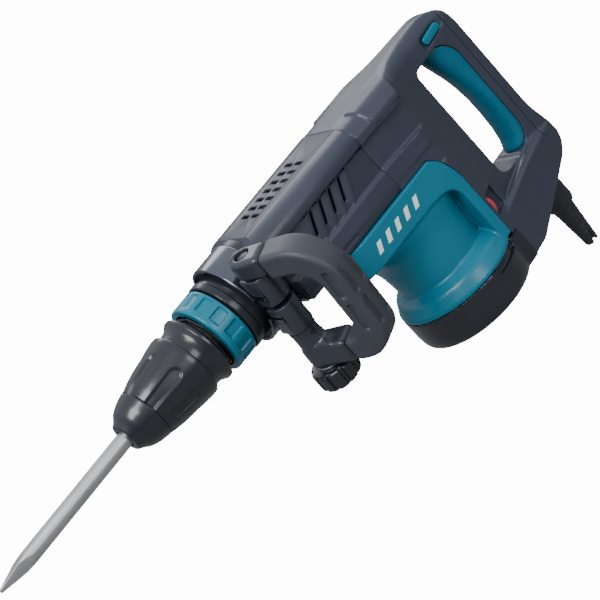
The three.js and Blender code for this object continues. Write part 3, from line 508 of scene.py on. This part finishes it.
def make_release_sleeve():
    def scoops(along, radius, around):
        angle = np.abs(fold_angle(around, 8, math.pi / 8))
        half = 0.20 + 0.03 * wave(along, -345, -310)
        across = 1 - wave(angle * radius, half * 34 - 2.6, half * 34 + 0.4)
        end = np.sqrt(np.clip((along + 312) / 9, 0, 3) ** 2 + (angle * radius / 7.6) ** 2)
        length = np.where(along > -312, 1 - wave(end, 0.72, 1.05), across)
        outer = (radius > 30.8) & (along < -290)
        return radius - np.where(outer, 2.3 * np.minimum(across, length) * wave(-along, 285, 306), 0)

    profile = [(-349, 22.8), (-349, 31.3, 0.8), (-338.6, 34.2, 3), (-328, 36.3, 4), (-318, 37.6, 4),
               (-307, 38.8, 4), (-297, 40, 4), (-289.5, 40.8, 3), (-284.6, 40.4, 1.6), (-284, 37.4),
               (-296, 37.4), (-296, 29.5), (-316, 29.5), (-316, 22.8)]
    sleeve = turned("work", profile, centre=(0, AXIS_Z), segments=320, step=1.0, dent=scoops)
    dress(sleeve, "black_plastic", "sleeve", "release_sleeve")


def make_neck_and_ring():
    neck = [(-287.5, 22.8), (-287.5, 36.6, 0.5), (-277, 36.6, 3), (-271.5, 38, 3), (-268, 40.6, 1),
            (-266.2, 42, 0.8), (-263, 42, 0.6), (-262.5, 41), (-262.5, 30.6), (-264.5, 30.6), (-264.5, 22.8)]
    dress(turned("work", neck, centre=(0, AXIS_Z), step=4), "black_plastic", "holder", "neck_ring")

    def pockets(along, radius, around):
        across = np.abs(fold_angle(around, 14)) * 43
        inside = 1 - np.maximum(wave(across, 5.2, 6.4), wave(np.abs(along + 237.2), 7.6, 9.0))
        return radius - np.where(radius > 41.5, 2.3 * inside, 0)

    ring = [(-253, 36.4), (-253, 42.2, 0.8), (-251.4, 43.5, 0.8), (-226, 43.5, 0.8), (-225, 42.6, 0.5),
            (-225, 30.6), (-243, 30.6), (-243, 36.4)]
    change = turned("work", ring, centre=(0, AXIS_Z), segments=480, step=0.8, dent=pockets)
    dress(change, "teal_plastic", "ring", "change_ring")


def make_barrel():
    profile = [(-223, 30.4), (-223, 43.6, 0.6), (-222, 44.5, 0.6), (-215, 44.5, 0.6), (-213.8, 43, 0.5),
               (-169.6, 43, 0.5), (-169.6, 49, 0.8), (-160, 49, 0.6), (-160, 30.4)]
    dress(turned("work", profile, centre=(0, AXIS_Z), segments=160), "cast_metal", "machine", "barrel")


# ---------------------------------------------------------------- front cover

HALF_SECTION = [
    (28, 47, 2), (36, 46.6, 6), (46, 43, 9), (53, 36, 9), (55, 29, 6), (54.4, 22, 1.5), (50.5, 19.6, 1.2),
    (50.5, -13.6, 1), (54.6, -17.6, 1.5), (56.6, -33, 4), (53.2, -44.3, 2),
]


def cover_section(inset=0.0):
    half = [(y - inset, AXIS_Z + (z - inset if z > 0 else z), r) for y, z, r in HALF_SECTION]
    return half + [(-y, z, r) for y, z, r in reversed(half)]


def both_sides(make):
    return [make(1), make(-1)]


def side_bar(corners, side, near, far):
    """An outline in (x, z) pushed out from the hammer's middle, on the side given as 1 or -1."""
    return prism(corners, "Y", min(side * near, side * far), max(side * near, side * far))


def make_front_cover():
    body = prism(cover_section(), "X", COVER_FRONT_X, PARTING_X, steps=8)
    top = AXIS_Z + 60
    side = prism([
        (COVER_FRONT_X, AXIS_Z - 36, 8), (COVER_FRONT_X, AXIS_Z + 38, 5), (-156, AXIS_Z + 48, 3), (-150, top),
        (0, top), (0, AXIS_Z - 60), (-140, AXIS_Z - 60),
    ], "Y", -70, 70)
    plan = prism([
        (COVER_FRONT_X, -47, 3), (-155, -57.5, 4), (10, -57.5), (10, 57.5), (-155, 57.5, 4),
        (COVER_FRONT_X, 47, 3),
    ], "Z", AXIS_Z - 70, AXIS_Z + 70)
    common(body, side, plan)
    cut(body, prism(cover_section(3), "X", COVER_FRONT_X + 6, PARTING_X + 5))
    hole = turned("work", [(-180, 0), (-180, 31), (-150, 31), (-150, 0)], centre=(0, AXIS_Z), closed=False)
    cut(body, hole)
    for line in (29.5, -29.5):
        cut(body, box(-153.5, PARTING_X + 1, line - 0.35, line + 0.35, AXIS_Z + 45.4, AXIS_Z + 50))
    # deck slots
    for row in range(7):
        x = -128 + row * 12.5
        for y0, y1 in ((2, 19), (-19, -2)):
            slot = [(x, y0, 1.5), (x + 5, y0, 1.5), (x + 5.6, y1, 1.5), (x + 0.6, y1, 1.5)]
            cut(body, prism(slot, "Z", AXIS_Z + 40, AXIS_Z + 52, steps=3))
    # louvres and ribs
    ribs = []
    for side_sign in (1, -1):
        for i in range(4):
            x = -110 + i * 16
            opening = [(x - 0.5, AXIS_Z - 5, 1.2), (x + 5.2, AXIS_Z - 5, 1.2), (x + 17.4, AXIS_Z + 18, 0.8),
                       (x + 11.7, AXIS_Z + 18, 0.8)]
            cut(body, side_bar(opening, side_sign, 44, 60))
        for i in range(5):
            x = -114.5 + i * 16
            rib = [(x - 2.4, AXIS_Z - 14, 1), (x, AXIS_Z - 14, 1), (x + 18.4, AXIS_Z + 21, 0.5),
                   (x + 16, AXIS_Z + 21, 0.5)]
            ribs.append(side_bar(rib, side_sign, 48, 51.9))
    join(body, *ribs)
    # dark pocket low on the side
    pocket = [(-103, AXIS_Z - 39, 3), (-76, AXIS_Z - 39, 3), (-76, AXIS_Z - 33.5, 3),
              (-103, AXIS_Z - 33.5, 3)]
    cut(body, *both_sides(lambda s: side_bar(pocket, s, 54.4, 62)))
    dress(bevelled(body, 0.45, 2, 40), "dark_plastic", "machine", "front_cover", angle=42)


# ---------------------------------------------------------------- rear housing and handle

HANDLE_SIDE = [
    (PARTING_X + 0.4, 171.4), (PARTING_X + 0.4, 264), (122, 265.5, 30), (168, 265, 16), (190, 256.5, 12),
    (196, 238, 14), (196, 104, 14), (203, 76, 14), (203, 52, 12), (188, 38, 14), (90, 3, 6), (65.6, 3),
    (65.6, 42.4), (57.4, 42.4), (57.4, 138, 14), (48.9, 161.2, 10), (38.2, 171.4),
]
PLAN_HALF = [(-5, 54.6), (20, 55), (56, 56.6, 5), (66, 51.5, 3), (76, 46.5, 6), (98, 33.5, 12),
             (122, 26.5, 16), (160, 21.5, 14), (206, 19.4)]
FOOT_HALF = [(57.4, 54), (65, 51), (182, 25.5), (206, 20)]
GRIP_FRONT = [(137, 231.5, 2), (151, 190, 14), (159.5, 150, 26), (158.3, 106, 16), (148, 76, 8)]
HANDLE_HOLE = [(110, 80, 12), (110, 231.5, 9)] + GRIP_FRONT
LEVER_EDGE = [(148, 238.5, 4.6), (176, 241.5, 4.6), (175, 250.5, 4.6), (147, 247.5, 4.6)]


def grown(corners, amount):
    points = np.array([c[:2] for c in corners], float)
    middle = points.mean(0)
    out = []
    for (x, z), corner in zip(points, corners):
        out.append((x + amount * np.sign(x - middle[0]), z + amount * np.sign(z - middle[1]),
                    corner[2] + amount))
    return out


def lofted(verts, rows, count):
    """Skins rows of count points each, and closes both ends."""
    faces = [[r * count + k, r * count + (k + 1) % count,
              (r + 1) * count + (k + 1) % count, (r + 1) * count + k]
             for r in range(rows - 1) for k in range(count)]
    faces += [list(range(count))[::-1], list(range((rows - 1) * count, rows * count))]
    return mesh_object("work", verts, faces)


def hood():
    """The upper skin: wide shoulders in front, and a bar with a round top over the handle."""
    top_z = AXIS_Z + 49.5
    front = [(58, -10, 0), (58, AXIS_Z + 14, 5), (55, AXIS_Z + 31, 9), (46, AXIS_Z + 43, 10),
             (27, AXIS_Z + 47.4, 8)]
    verts, count = [], 0
    stations = [-20, 20, 36] + list(np.linspace(44, 212, 43))
    for x in stations:
        width = float(np.interp(x, [p[0] for p in PLAN_HALF], [p[1] for p in PLAN_HALF])) + 0.4
        back = [(width, -10, 0), (width, top_z - 26, 5), (width - 1.5, top_z - 12, 9),
                (width - 7.5, top_z - 2.6, 8), (width * 0.42, top_z + 0.3, 8)]
        blend = float(wave(x, 24, 96))
        half = [tuple((1 - blend) * a + blend * b for a, b in zip(f, k)) for f, k in zip(front, back)]
        ring = rounded([half[0]] + [(y, z, max(r, 0.5)) for y, z, r in half[1:]]
                       + [(-y, z, max(r, 0.5)) for y, z, r in reversed(half[1:])] + [(-half[0][0], -10)], 6)
        count = len(ring)
        verts += [(x, y, z) for y, z in ring]
    return lofted(verts, len(stations), count)


def rear_blank():
    side = prism(HANDLE_SIDE, "Y", -60, 60, steps=8)
    plan = [(x, -y, *r) for x, y, *r in PLAN_HALF] + [(x, y, *r) for x, y, *r in reversed(PLAN_HALF)]
    return common(side, prism(plan, "Z", -5, 300, steps=8), hood())


def slope_cutter(side):
    """Takes the outer top edge off the foot, leaving a sloping strip that runs back and up."""
    edge = [Vector((40, 58, 52)), Vector((220, 17.5, 75))]
    inner = [Vector((40, 50, 62)), Vector((220, 10.5, 86))]
    out = [e + (e - i) * 3 for e, i in zip(edge, inner)]
    far = [i + (i - e) * 3 for e, i in zip(edge, inner)]
    low_face = [out[0], out[1], far[1], far[0]]
    verts = [(v.x, side * v.y, v.z) for v in low_face] + [(v.x, side * v.y, v.z + 80) for v in low_face]
    faces = [[0, 1, 2, 3], [7, 6, 5, 4]] + [[i, (i + 1) % 4, 4 + (i + 1) % 4, 4 + i] for i in range(4)]
    return mesh_object("work", verts, faces)


def make_foot():
    """The wide foot under the handle, which carries the cord entry."""
    half = [(x, y) for x, y in FOOT_HALF]
    plan = prism([(x, -y) for x, y in half] + half[::-1], "Z", -5, 90)
    top = [(50, -5), (220, -5), (220, 86), (184, 82), (112, 70), (80, 65), (50, 63)]
    foot = common(prism(HANDLE_SIDE, "Y", -60, 60, steps=8), plan, prism(top, "Y", -60, 60))
    return cut(foot, slope_cutter(1), slope_cutter(-1))


def make_rear_housing():
    body = join(rear_blank(), make_foot())
    cut(body, prism(HANDLE_HOLE, "Y", -70, 70, steps=10))
    # long recessed side panels, and the raised pads on the shoulders
    panel = [(-20, AXIS_Z - 14, 1), (120, AXIS_Z - 19, 1), (120, AXIS_Z + 17, 1), (-20, AXIS_Z + 20.5, 1)]
    cut(body, *both_sides(lambda s: side_bar(panel, s, 51.0, 70)))
    strip = [(-20, AXIS_Z - 34, 1), (120, AXIS_Z - 38.5, 1), (120, AXIS_Z - 60), (-20, AXIS_Z - 60)]
    cut(body, *both_sides(lambda s: side_bar(strip, s, 54.2, 70)))
    pad_section = [
        (0, AXIS_Z + 38), (28, AXIS_Z + 46), (29, AXIS_Z + 48.9, 2), (47.6, AXIS_Z + 44.6, 10),
        (56.8, AXIS_Z + 31.5, 6), (56.8, AXIS_Z + 23.4, 2), (50, AXIS_Z + 23),
    ]
    pads = []
    for s in (1, -1):
        pad = prism([(s * y, z, *r) for y, z, *r in pad_section], "X", 12, 74, steps=8)
        trim = prism([(11, 0), (24, 70), (60, 70), (74, 40), (74, 0)], "Z", 0, 400)
        mirror = prism([(11, 0), (24, -70), (60, -70), (74, -40), (74, 0)], "Z", 0, 400)
        discard(mirror if s > 0 else trim)
        pads.append(common(pad, trim if s > 0 else mirror))
    join(body, *pads)
    # seats of the grip, the lever, the back cover, the dial and the cord
    cut(body, prism([(130, 231.4), (158.4, 231.4, 10), (173.4, 214, 12), (173.4, 96, 12), (163.4, 79.6, 12),
                     (130, 78.6)], "Y", -40, 40))
    cut(body, prism(grown(LEVER_EDGE, 0.6), "Y", -40, 40))
    scoop = [(143, 236, 5), (182, 240, 5), (181, 254, 5), (142, 250, 5)]
    cut(body, *both_sides(lambda s: side_bar(scoop, s, 19.4, 40)))
    cut(body, prism([(184, 66), (184, 254), (215, 254), (215, 66)], "Y", -40, 40))
    recess = [(63.6, -60), (61.3, -49), (60, -48.2, 2), (72, -40.5, 3), (80, -37.6, 2), (88, -60)]
    cut(body, prism(recess, "Z", 66.5, 93.5), dial_disc(DIAL_RADIUS + 1, 6.7, 64))
    cut(body, turned("work", [(-5, 0), (-5, 10.5), (70, 10.5), (70, 0)], axis="Z", centre=(CORD_X, 0),
                     closed=False))
    # two small notches beside the hand room
    for z in (94, 106):
        cut(body, box(99, 118, -34, -22, z - 1, z + 1))
    dress(moulded(body, 1.2, 5), "dark_plastic", "machine", "rear_housing")

    strip = common(join(rear_blank(), make_foot()),
                   prism([(184.1, 65.9), (184.1, 254.1), (215, 254.1), (215, 65.9)], "Y", -40, 40))
    dress(moulded(strip, 1.0, 5), "dark_plastic", "machine", "handle_back_cover")


GRIP_STATIONS = [
    (79, 149.5, 156), (84, 151, 165), (92, 155, 171), (106, 158.5, 173), (128, 160, 173), (150, 159.6, 173),
    (172, 156.2, 173), (190, 151.5, 173), (206, 146, 173), (216, 142.8, 171), (225, 140, 164),
    (231, 138.5, 156),
]


def make_grip_and_lever():
    """The soft grip is a bar with a round front, lofted from its foot to its head."""
    half = 19.9
    heights = np.linspace(79, 231, 60)
    fronts = np.interp(heights, [g[0] for g in GRIP_STATIONS], [g[1] for g in GRIP_STATIONS])
    verts = []
    count = 27
    for z, front in zip(heights, fronts):
        middle = front + 0.72 * (173 - front)
        ring = [(173, -half)]
        for k in range(count - 2):
            a = math.pi * k / (count - 3)
            ring.append((middle - (middle - front) * math.sin(a), -half * math.cos(a)))
        ring.append((173, half))
        verts += [(x, y, z) for x, y in ring]
    back = [(130, 231), (158, 231, 12), (173, 214, 14), (173, 96, 14), (163, 80, 14), (130, 79)]
    grip = common(lofted(verts, len(heights), count), prism(back, "Y", -40, 40, steps=10))
    dress(moulded(grip, 0.9, 8), "teal_grip", "machine", "soft_grip")
    lever = prism(LEVER_EDGE, "Y", -22.4, 27.9, steps=8)
    dress(bevelled(lever, 1.0, 3, 50), "teal_plastic", "lever", "switch_lever", angle=50)


# ---------------------------------------------------------------- motor housing and end cap

WAIST = [
    (46, 57, 53, 2), (66, 57, 53, 2), (90, 59, 53, 2), (106, 61.5, 53, 2.1), (118, 67, 53.5, 2.3),
    (128, 77, 54.5, 2.8), (137, 97, 55.5, 3.6),
]


def make_waist():
    """The motor's body, round below and squarer towards the band above."""
    heights = np.linspace(46, 137, 50)
    columns = [np.interp(heights, [w[0] for w in WAIST], [w[k] for w in WAIST]) for k in (1, 2, 3)]
    soft = [np.convolve(np.pad(c, 3, mode="edge"), np.ones(7) / 7, mode="valid") for c in columns]
    count = 96
    verts = []
    for z, front, half, power in zip(heights, *soft):
        for k in range(count):
            a = 2 * math.pi * k / count
            along = math.copysign(abs(math.cos(a)) ** (2 / power), math.cos(a))
            across = math.copysign(abs(math.sin(a)) ** (2 / power), math.sin(a))
            x = along * (front if along < 0 else 52)
            verts.append((x, across * (half + max(0, 56.3 - half) * float(wave(x, 16, 44))), z))
    return lofted(verts, len(heights), count)


def make_motor_housing():
    top = MOTOR_TOP_Z
    band = prism([
        (-110, -46, 14), (-84, -57, 14), (57, -57, 4), (57, 57, 4), (-84, 57, 14), (-110, 46, 14),
    ], "Z", 136, top)
    flange = turned("work", [
        (42.3, 0), (42.3, 74.3, 0.6), (46.5, 74.3, 1.5), (60, 67.5, 2.5), (64.5, 60, 2), (68, 54), (68, 0),
    ], axis="Z", closed=False, segments=160)
    frame_web = prism([
        (57, 46), (57, 139), (0, 139), (0, 137), (44, 132, 26), (44, 46),
    ], "Y", -57, 57, steps=12)
    body = join(make_waist(), flange, frame_web, band)
    rear = prism([
        (57, 20), (57, 138, 14), (48.5, 161, 10), (38, top), (38, 200), (95, 200), (95, 20),
    ], "Y", -90, 90)
    cut(body, rear)
    # the band's front end slopes down and back
    nose = prism([(-120, 151), (-110.5, 151), (-98, 135.5), (-98, 120), (-120, 120)], "Y", -70, 70)
    cut(body, nose)
    dress(moulded(body, 1.2, 5), "teal_plastic", "machine", "motor_housing")


def crescent(side, z0, z1):
    angles = np.linspace(math.radians(48), math.radians(86), 16)
    outer = [(86 * math.cos(a), side * 86 * math.sin(a)) for a in angles]
    inner = [(69 * math.cos(a), side * 69 * math.sin(a)) for a in reversed(angles)]
    return prism(outer + inner, "Z", z0, z1)


def make_end_cap():
    cap = turned("work", [
        (0, 0), (0, 66, 2), (2.5, 71.5, 2), (8, 73.8, 4), (16, 74.5, 3), (CAP_TOP_Z, 74.5), (CAP_TOP_Z, 64),
        (30, 60), (30, 0),
    ], axis="Z", closed=False, segments=160)
    corner = prism([(20, -55.5), (70, -54, 3), (70, 54, 3), (20, 55.5)], "Z", 3, CAP_TOP_Z - 0.2)
    join(cap, corner)
    cut(cap, box(CAP_REAR_X, 95, -90, 90, -2, 80))
    cut(cap, *both_sides(lambda s: crescent(s, 33, 50)))
    dress(moulded(cap, 1.2, 4), "black_plastic", "machine", "end_cap")


def make_print():
    """Plain white slanted stripes on the teal band, on both sides."""
    for side in (-1, 1):
        verts, faces = [], []
        for i, (x, length) in enumerate(((-74, 34), (-58, 34), (-42, 34), (-26, 34), (-10, 34))):
            width, z0, z1 = 6.5, 147.5, 159
            lean = 6
            y = side * 57.12
            n = len(verts)
            verts += [(x, y, z0), (x + width, y, z0), (x + width + lean, y, z1), (x + lean, y, z1)]
            faces.append([n, n + 1, n + 2, n + 3])
        stripes = mesh_object("work", verts, faces)
        thick = stripes.modifiers.new("thickness", "SOLIDIFY")
        thick.thickness = 0.0003
        thick.offset = 0
        bake(stripes)
        dress(stripes, WHITE_PRINT, "machine", name=("left" if side < 0 else "right") + "_band_stripes")


# ---------------------------------------------------------------- dial, boot and guard

def dial_disc(radius, width, segments, dent=None):
    middle = [(a + b) / 2 for a, b in zip(low("speed_dial"), high("speed_dial"))]
    half = width / 2
    disc = turned("work", [(-half, 0), (-half, radius - 0.7), (-half + 0.6, radius), (half - 0.6, radius),
                           (half, radius - 0.7), (half, 0)], centre=(0, 0), closed=False, segments=segments,
                           dent=dent)
    turn = Vector((1, 0, 0)).rotation_difference(Vector((0.857, 0.515, 0)))
    disc.data.transform(Matrix.Translation(Vector(middle) * 0.001) @ turn.to_matrix().to_4x4())
    return disc


def make_dial():
    def ridges(along, radius, around):
        return radius - np.where(radius > DIAL_RADIUS - 2, 0.6 * (np.cos(around * 40) < 0), 0)

    dress(dial_disc(DIAL_RADIUS, 5.5, 320, ridges), "red_plastic", "dial", "speed_dial", angle=40)


def make_cord_entry():
    bottom = high("cord_boot")[2]
    boot = turned("work", [(-10, 14), (-10, 15.4, 1), (-6, 17.4, 2), (bottom, 17.4), (bottom, 14)], axis="Z",
                  centre=(CORD_X, 0), segments=96)
    above = prism([(60, 3), (90, 2.6), (184, 36.4), (198, 49.6), (210, 80), (60, 80)], "Y", -30, 30)
    cut(boot, above)
    dress(boot, "black_rubber", "machine", "cord_boot", angle=40)

    def flutes(along, radius, around):
        rings = 0.5 * wave(np.abs(np.mod(along + 66, 9.0) - 4.5), 3.3, 4.1)
        return radius - np.where((radius > 7.6) & (along < -9), rings, 0)

    guard = turned("work", [(-67, 4.6), (-67, 8.2, 0.8), (-8, 13.4, 0.8), (-6, 13.4), (-6, 10), (34, 10),
                            (34, 4.6)],
                   axis="Z", centre=(CORD_X, 0), segments=96, step=0.6, dent=flutes)
    cut(guard, prism([(CORD_X - 4, -70), (CORD_X + 4, -70), (CORD_X, -46)], "Y", -20, 20))
    dress(guard, "black_rubber", "machine", "cord_guard")


# ---------------------------------------------------------------- side handle

TO_SIDE = Matrix.Translation((0, 0, AXIS_Z * 0.001)) @ Matrix.Rotation(SIDE_ROLL, 4, "X")
TO_GRIP = (TO_SIDE @ Matrix.Translation((BOLT_X * 0.001, -BOLT_OFFSET * 0.001, 0))
           @ Matrix.Rotation(SIDE_SWING, 4, "Z"))


def side_place(piece, matrix):
    piece.data.transform(matrix)
    return piece


def bolt_bore(radius):
    return turned("work", [(-125, 0), (-125, radius), (125, radius), (125, 0)], axis="Z",
                  centre=(BOLT_X, -BOLT_OFFSET), closed=False, segments=48)


def crown(radius, wall, z_root, height, centre, teeth=16, up=1):
    """A ring of pointed teeth round the bolt where two pieces of the side handle meet."""
    segments = teeth * 8
    verts, faces = [], []
    for k in range(segments):
        a = 2 * math.pi * k / segments
        rise = abs(((k / 8) % 1) - 0.5) * 2
        tooth = z_root + up * height * min(1, max(0, rise * 1.6 - 0.3))
        for r, z in ((radius - wall, z_root - up * 2), (radius, z_root - up * 2), (radius, tooth),
                     (radius - wall, tooth)):
            verts.append((centre[0] + r * math.cos(a), centre[1] + r * math.sin(a), z))
    for k in range(segments):
        m = (k + 1) % segments
        for q in range(4):
            w = (q + 1) % 4
            faces.append([k * 4 + q, m * 4 + q, m * 4 + w, k * 4 + w])
    return mesh_object("work", verts, faces)


def make_clamp():
    band = turned("work", [
        (-206, 48.6), (-206, 51.4, 0.5), (-205, 52, 0.5), (-171.3, 52, 0.5), (-170.3, 51.4, 0.5),
        (-170.3, 48.6), (-180, 48.6), (-180, 43.4), (-198, 43.4), (-198, 48.6),
    ], centre=(0, 0), segments=200)
    cut(band, box(-210, -165, -80, -20, -13.5, 13.5))
    for s in (1, -1):
        join(band, box(-204, -172, -69, -49, s * 15.5 - 1.8, s * 15.5 + 1.8))
    cut(band, bolt_bore(6.6))
    dress(side_place(band, TO_SIDE), "dark_steel", "clamp", "clamp_band", angle=35)
    outline = [(-203, -46), (-203, -61, 4), (-202.2, -70, 8), (-193, -76.2, 8), (-183, -76.2, 8),
               (-173.8, -70, 8), (-172.4, -61, 4), (-171, -46)]
    for s, node in ((1, "upper_clamp_half"), (-1, "lower_clamp_half")):
        z0, z1 = sorted((s * 3, s * 37.9))
        half = prism(outline, "Z", z0, z1, steps=8)
        cut(half, turned("work", [(-225, 0), (-225, 52.35), (-150, 52.35), (-150, 0)], centre=(0, 0),
                         closed=False,
                         segments=160))
        cut(half, box(-210, -165, -69.4, -40, *sorted((s * 15.5 - 2.2, s * 15.5 + 2.2))))
        cut(half, bolt_bore(6.6))
        bevelled(half, 0.9, 3, 50)
        dress(side_place(half, TO_SIDE), "dark_plastic", "clamp", node, angle=45)
        half.data.materials[0] = HANDLE_PLASTIC
    bolt = turned("work", [(-106, 0), (-106, 5.4), (-105.2, 6), (55.4, 6), (55.4, 0)], axis="Z",
                  centre=(BOLT_X, -BOLT_OFFSET), closed=False, segments=48)
    head = prism([(BOLT_X + 7.4 * math.cos(a), -BOLT_OFFSET + 7.4 * math.sin(a))
                  for a in np.arange(6) * math.pi / 3],
                 "Z", 55, 61)
    join(bolt, head)
    dress(side_place(bevelled(bolt, 0.5, 2, 40), TO_SIDE), "dark_steel", "clamp", "clamp_bolt", angle=40)
    bolt.data.materials[0] = LOOKS["cast_metal"]
    washer = turned("work", [(-92.7, 6.4), (-92.7, 14, 0.4), (-90.4, 14, 0.4), (-90.4, 6.4)], axis="Z",
                    centre=(BOLT_X, -BOLT_OFFSET), segments=64)
    dress(side_place(washer, TO_SIDE), "satin_steel", "washer", "clamp_washer")


def make_knob():
    def lobes(along, radius, around):
        groove = 1 - wave(np.abs(fold_angle(around, 10)) * 25, 1.4, 3.0)
        outer = wave(radius, 18, 23.5)
        return radius - 2.6 * groove * outer

    knob = turned("work", [
        (-117, 0), (-117, 20, 3), (-114, 24.6, 2), (-95.6, 25, 1.5), (-93.1, 23, 1), (-93.1, 6.4),
        (-113, 6.4), (-113, 0),
    ], axis="Z", centre=(0, 0), closed=False, segments=256, step=1.2, dent=lobes)
    knob.data.transform(Matrix.Translation((BOLT_X * 0.001, -BOLT_OFFSET * 0.001, 0)))
    dress(side_place(knob, TO_SIDE), "black_plastic", "knob", "clamp_knob", angle=40)


def make_side_handle():
    top, bottom, seat = 63, -90, 38.4
    rubber_top, rubber_bottom = 24, 38
    frame_body = prism([
        (17, top, 6), (17, bottom, 6), (-78, bottom, 16), (-92, bottom + 22, 16), (-92, top - 20, 16),
        (-76, top, 16),
    ], "X", -15.5, 15.5, steps=8)
    opening = prism([
        (30, seat), (30, -61), (-58, -61, 16), (-70, -48, 12), (-70, 20, 12), (-58, 33.6, 16),
        (-31, 33.6, 2), (-26, seat, 2),
    ], "X", -30, 30, steps=8)
    cut(frame_body, opening)
    trim = prism([(-15.5, 15.5, 15), (15.5, 15.5, 15), (15.5, -101), (-15.5, -101)], "Z", bottom - 1,
                 top + 1, steps=12)
    common(frame_body, trim)
    rubber_room = [(-rubber_top, top + 5), (-rubber_top, 0), (-rubber_bottom, 0),
                   (-rubber_bottom - 8, bottom - 5), (-110, bottom - 5), (-110, top + 5)]
    cut(frame_body, prism(rubber_room, "X", -30, 30))
    fillets = [prism([(-8, -46), (-13, -46), (-18, -57), (-34, -63), (-8, -63)], "X", -9, 9)]
    join(frame_body, *fillets)
    bevelled(frame_body, 6, 5, 50)
    boss = turned("work", [(-66, 0), (-66, 14.6), (-seat, 14.6), (-seat, 0)], axis="Z", closed=False,
                  segments=96)
    join(moulded(frame_body, 1.0, 8), boss)
    bore = turned("work", [(-125, 0), (-125, 6.6), (80, 6.6), (80, 0)], axis="Z", closed=False, segments=48)
    head_seat = turned("work", [(54.6, 0), (54.6, 8.4), (80, 8.4), (80, 0)], axis="Z", closed=False,
                       segments=64)
    cut(frame_body, bore, head_seat)
    moulded(frame_body, 0.9, 4)
    join(frame_body, crown(15.3, 1.2, -seat - 3, 2.9, (0, 0), teeth=18))
    dress(side_place(frame_body, TO_GRIP), "dark_plastic", "side_grip", "side_handle_frame")
    frame_body.data.materials[0] = HANDLE_PLASTIC

    grip = prism([
        (-rubber_top - 0.3, top), (-rubber_top - 0.3, 0), (-rubber_bottom - 0.3, 0),
        (-rubber_bottom - 8.3, bottom), (-72, bottom, 14), (-99, bottom + 20, 20), (-100, top - 34, 24),
        (-68, top, 24),
    ], "X", -16.5, 16.5, steps=10)
    cut(grip, prism([
        (30, seat), (30, -61), (-58, -61, 16), (-70, -48, 14), (-70, 18, 14), (-56, 33.6, 18), (-20, 33.6),
    ], "X", -30, 30, steps=8))
    bevelled(grip, 5.5, 5, 50)
    moulded(grip, 1.0, 12)
    grooves = []
    for x in (-8.5, 8.5):
        for z0, z1 in ((-53, -17), (-9, 27)):
            groove = prism([(x - 3.6, z0, 3.6), (x + 3.6, z0, 3.6), (x + 3.6, z1, 3.6), (x - 3.6, z1, 3.6)],
                           "Y", -110, -97)
            grooves.append(groove)
    for s in (1, -1):
        for z0, z1 in ((-53, -17), (-9, 27)):
            y = -84
            groove = prism([(y - 3.8, z0, 3.8), (y + 3.8, z0, 3.8), (y + 3.8, z1, 3.8), (y - 3.8, z1, 3.8)],
                           "X",
                           *sorted((s * 14, s * 30)))
            grooves.append(groove)
    cut(grip, *grooves)
    moulded(grip, 0.8, 3)
    dress(side_place(grip, TO_GRIP), "black_rubber", "side_grip", "side_handle_grip", angle=60)
    grip.data.materials[0] = GRIP_RUBBER


# ---------------------------------------------------------------- everything

set_camera()
set_studio()
floor = box(-30000, 30000, -30000, 30000, low("cord_guard")[2] - 190, low("cord_guard")[2] - 180)
floor.name = "floor"
floor.data.materials.append(pale_floor())

make_chisel()
make_nose()
make_release_sleeve()
make_neck_and_ring()
make_barrel()
make_front_cover()
make_rear_housing()
make_grip_and_lever()
make_motor_housing()
make_end_cap()
make_print()
make_dial()
make_cord_entry()
make_clamp()
make_knob()
make_side_handle()

for entry in frame["record"]["subparts"]:
    node = frame["nodes"][entry["node"]]
    node.data.materials.clear()
    node.data.materials.append(LOOKS[entry["material_slot"]])
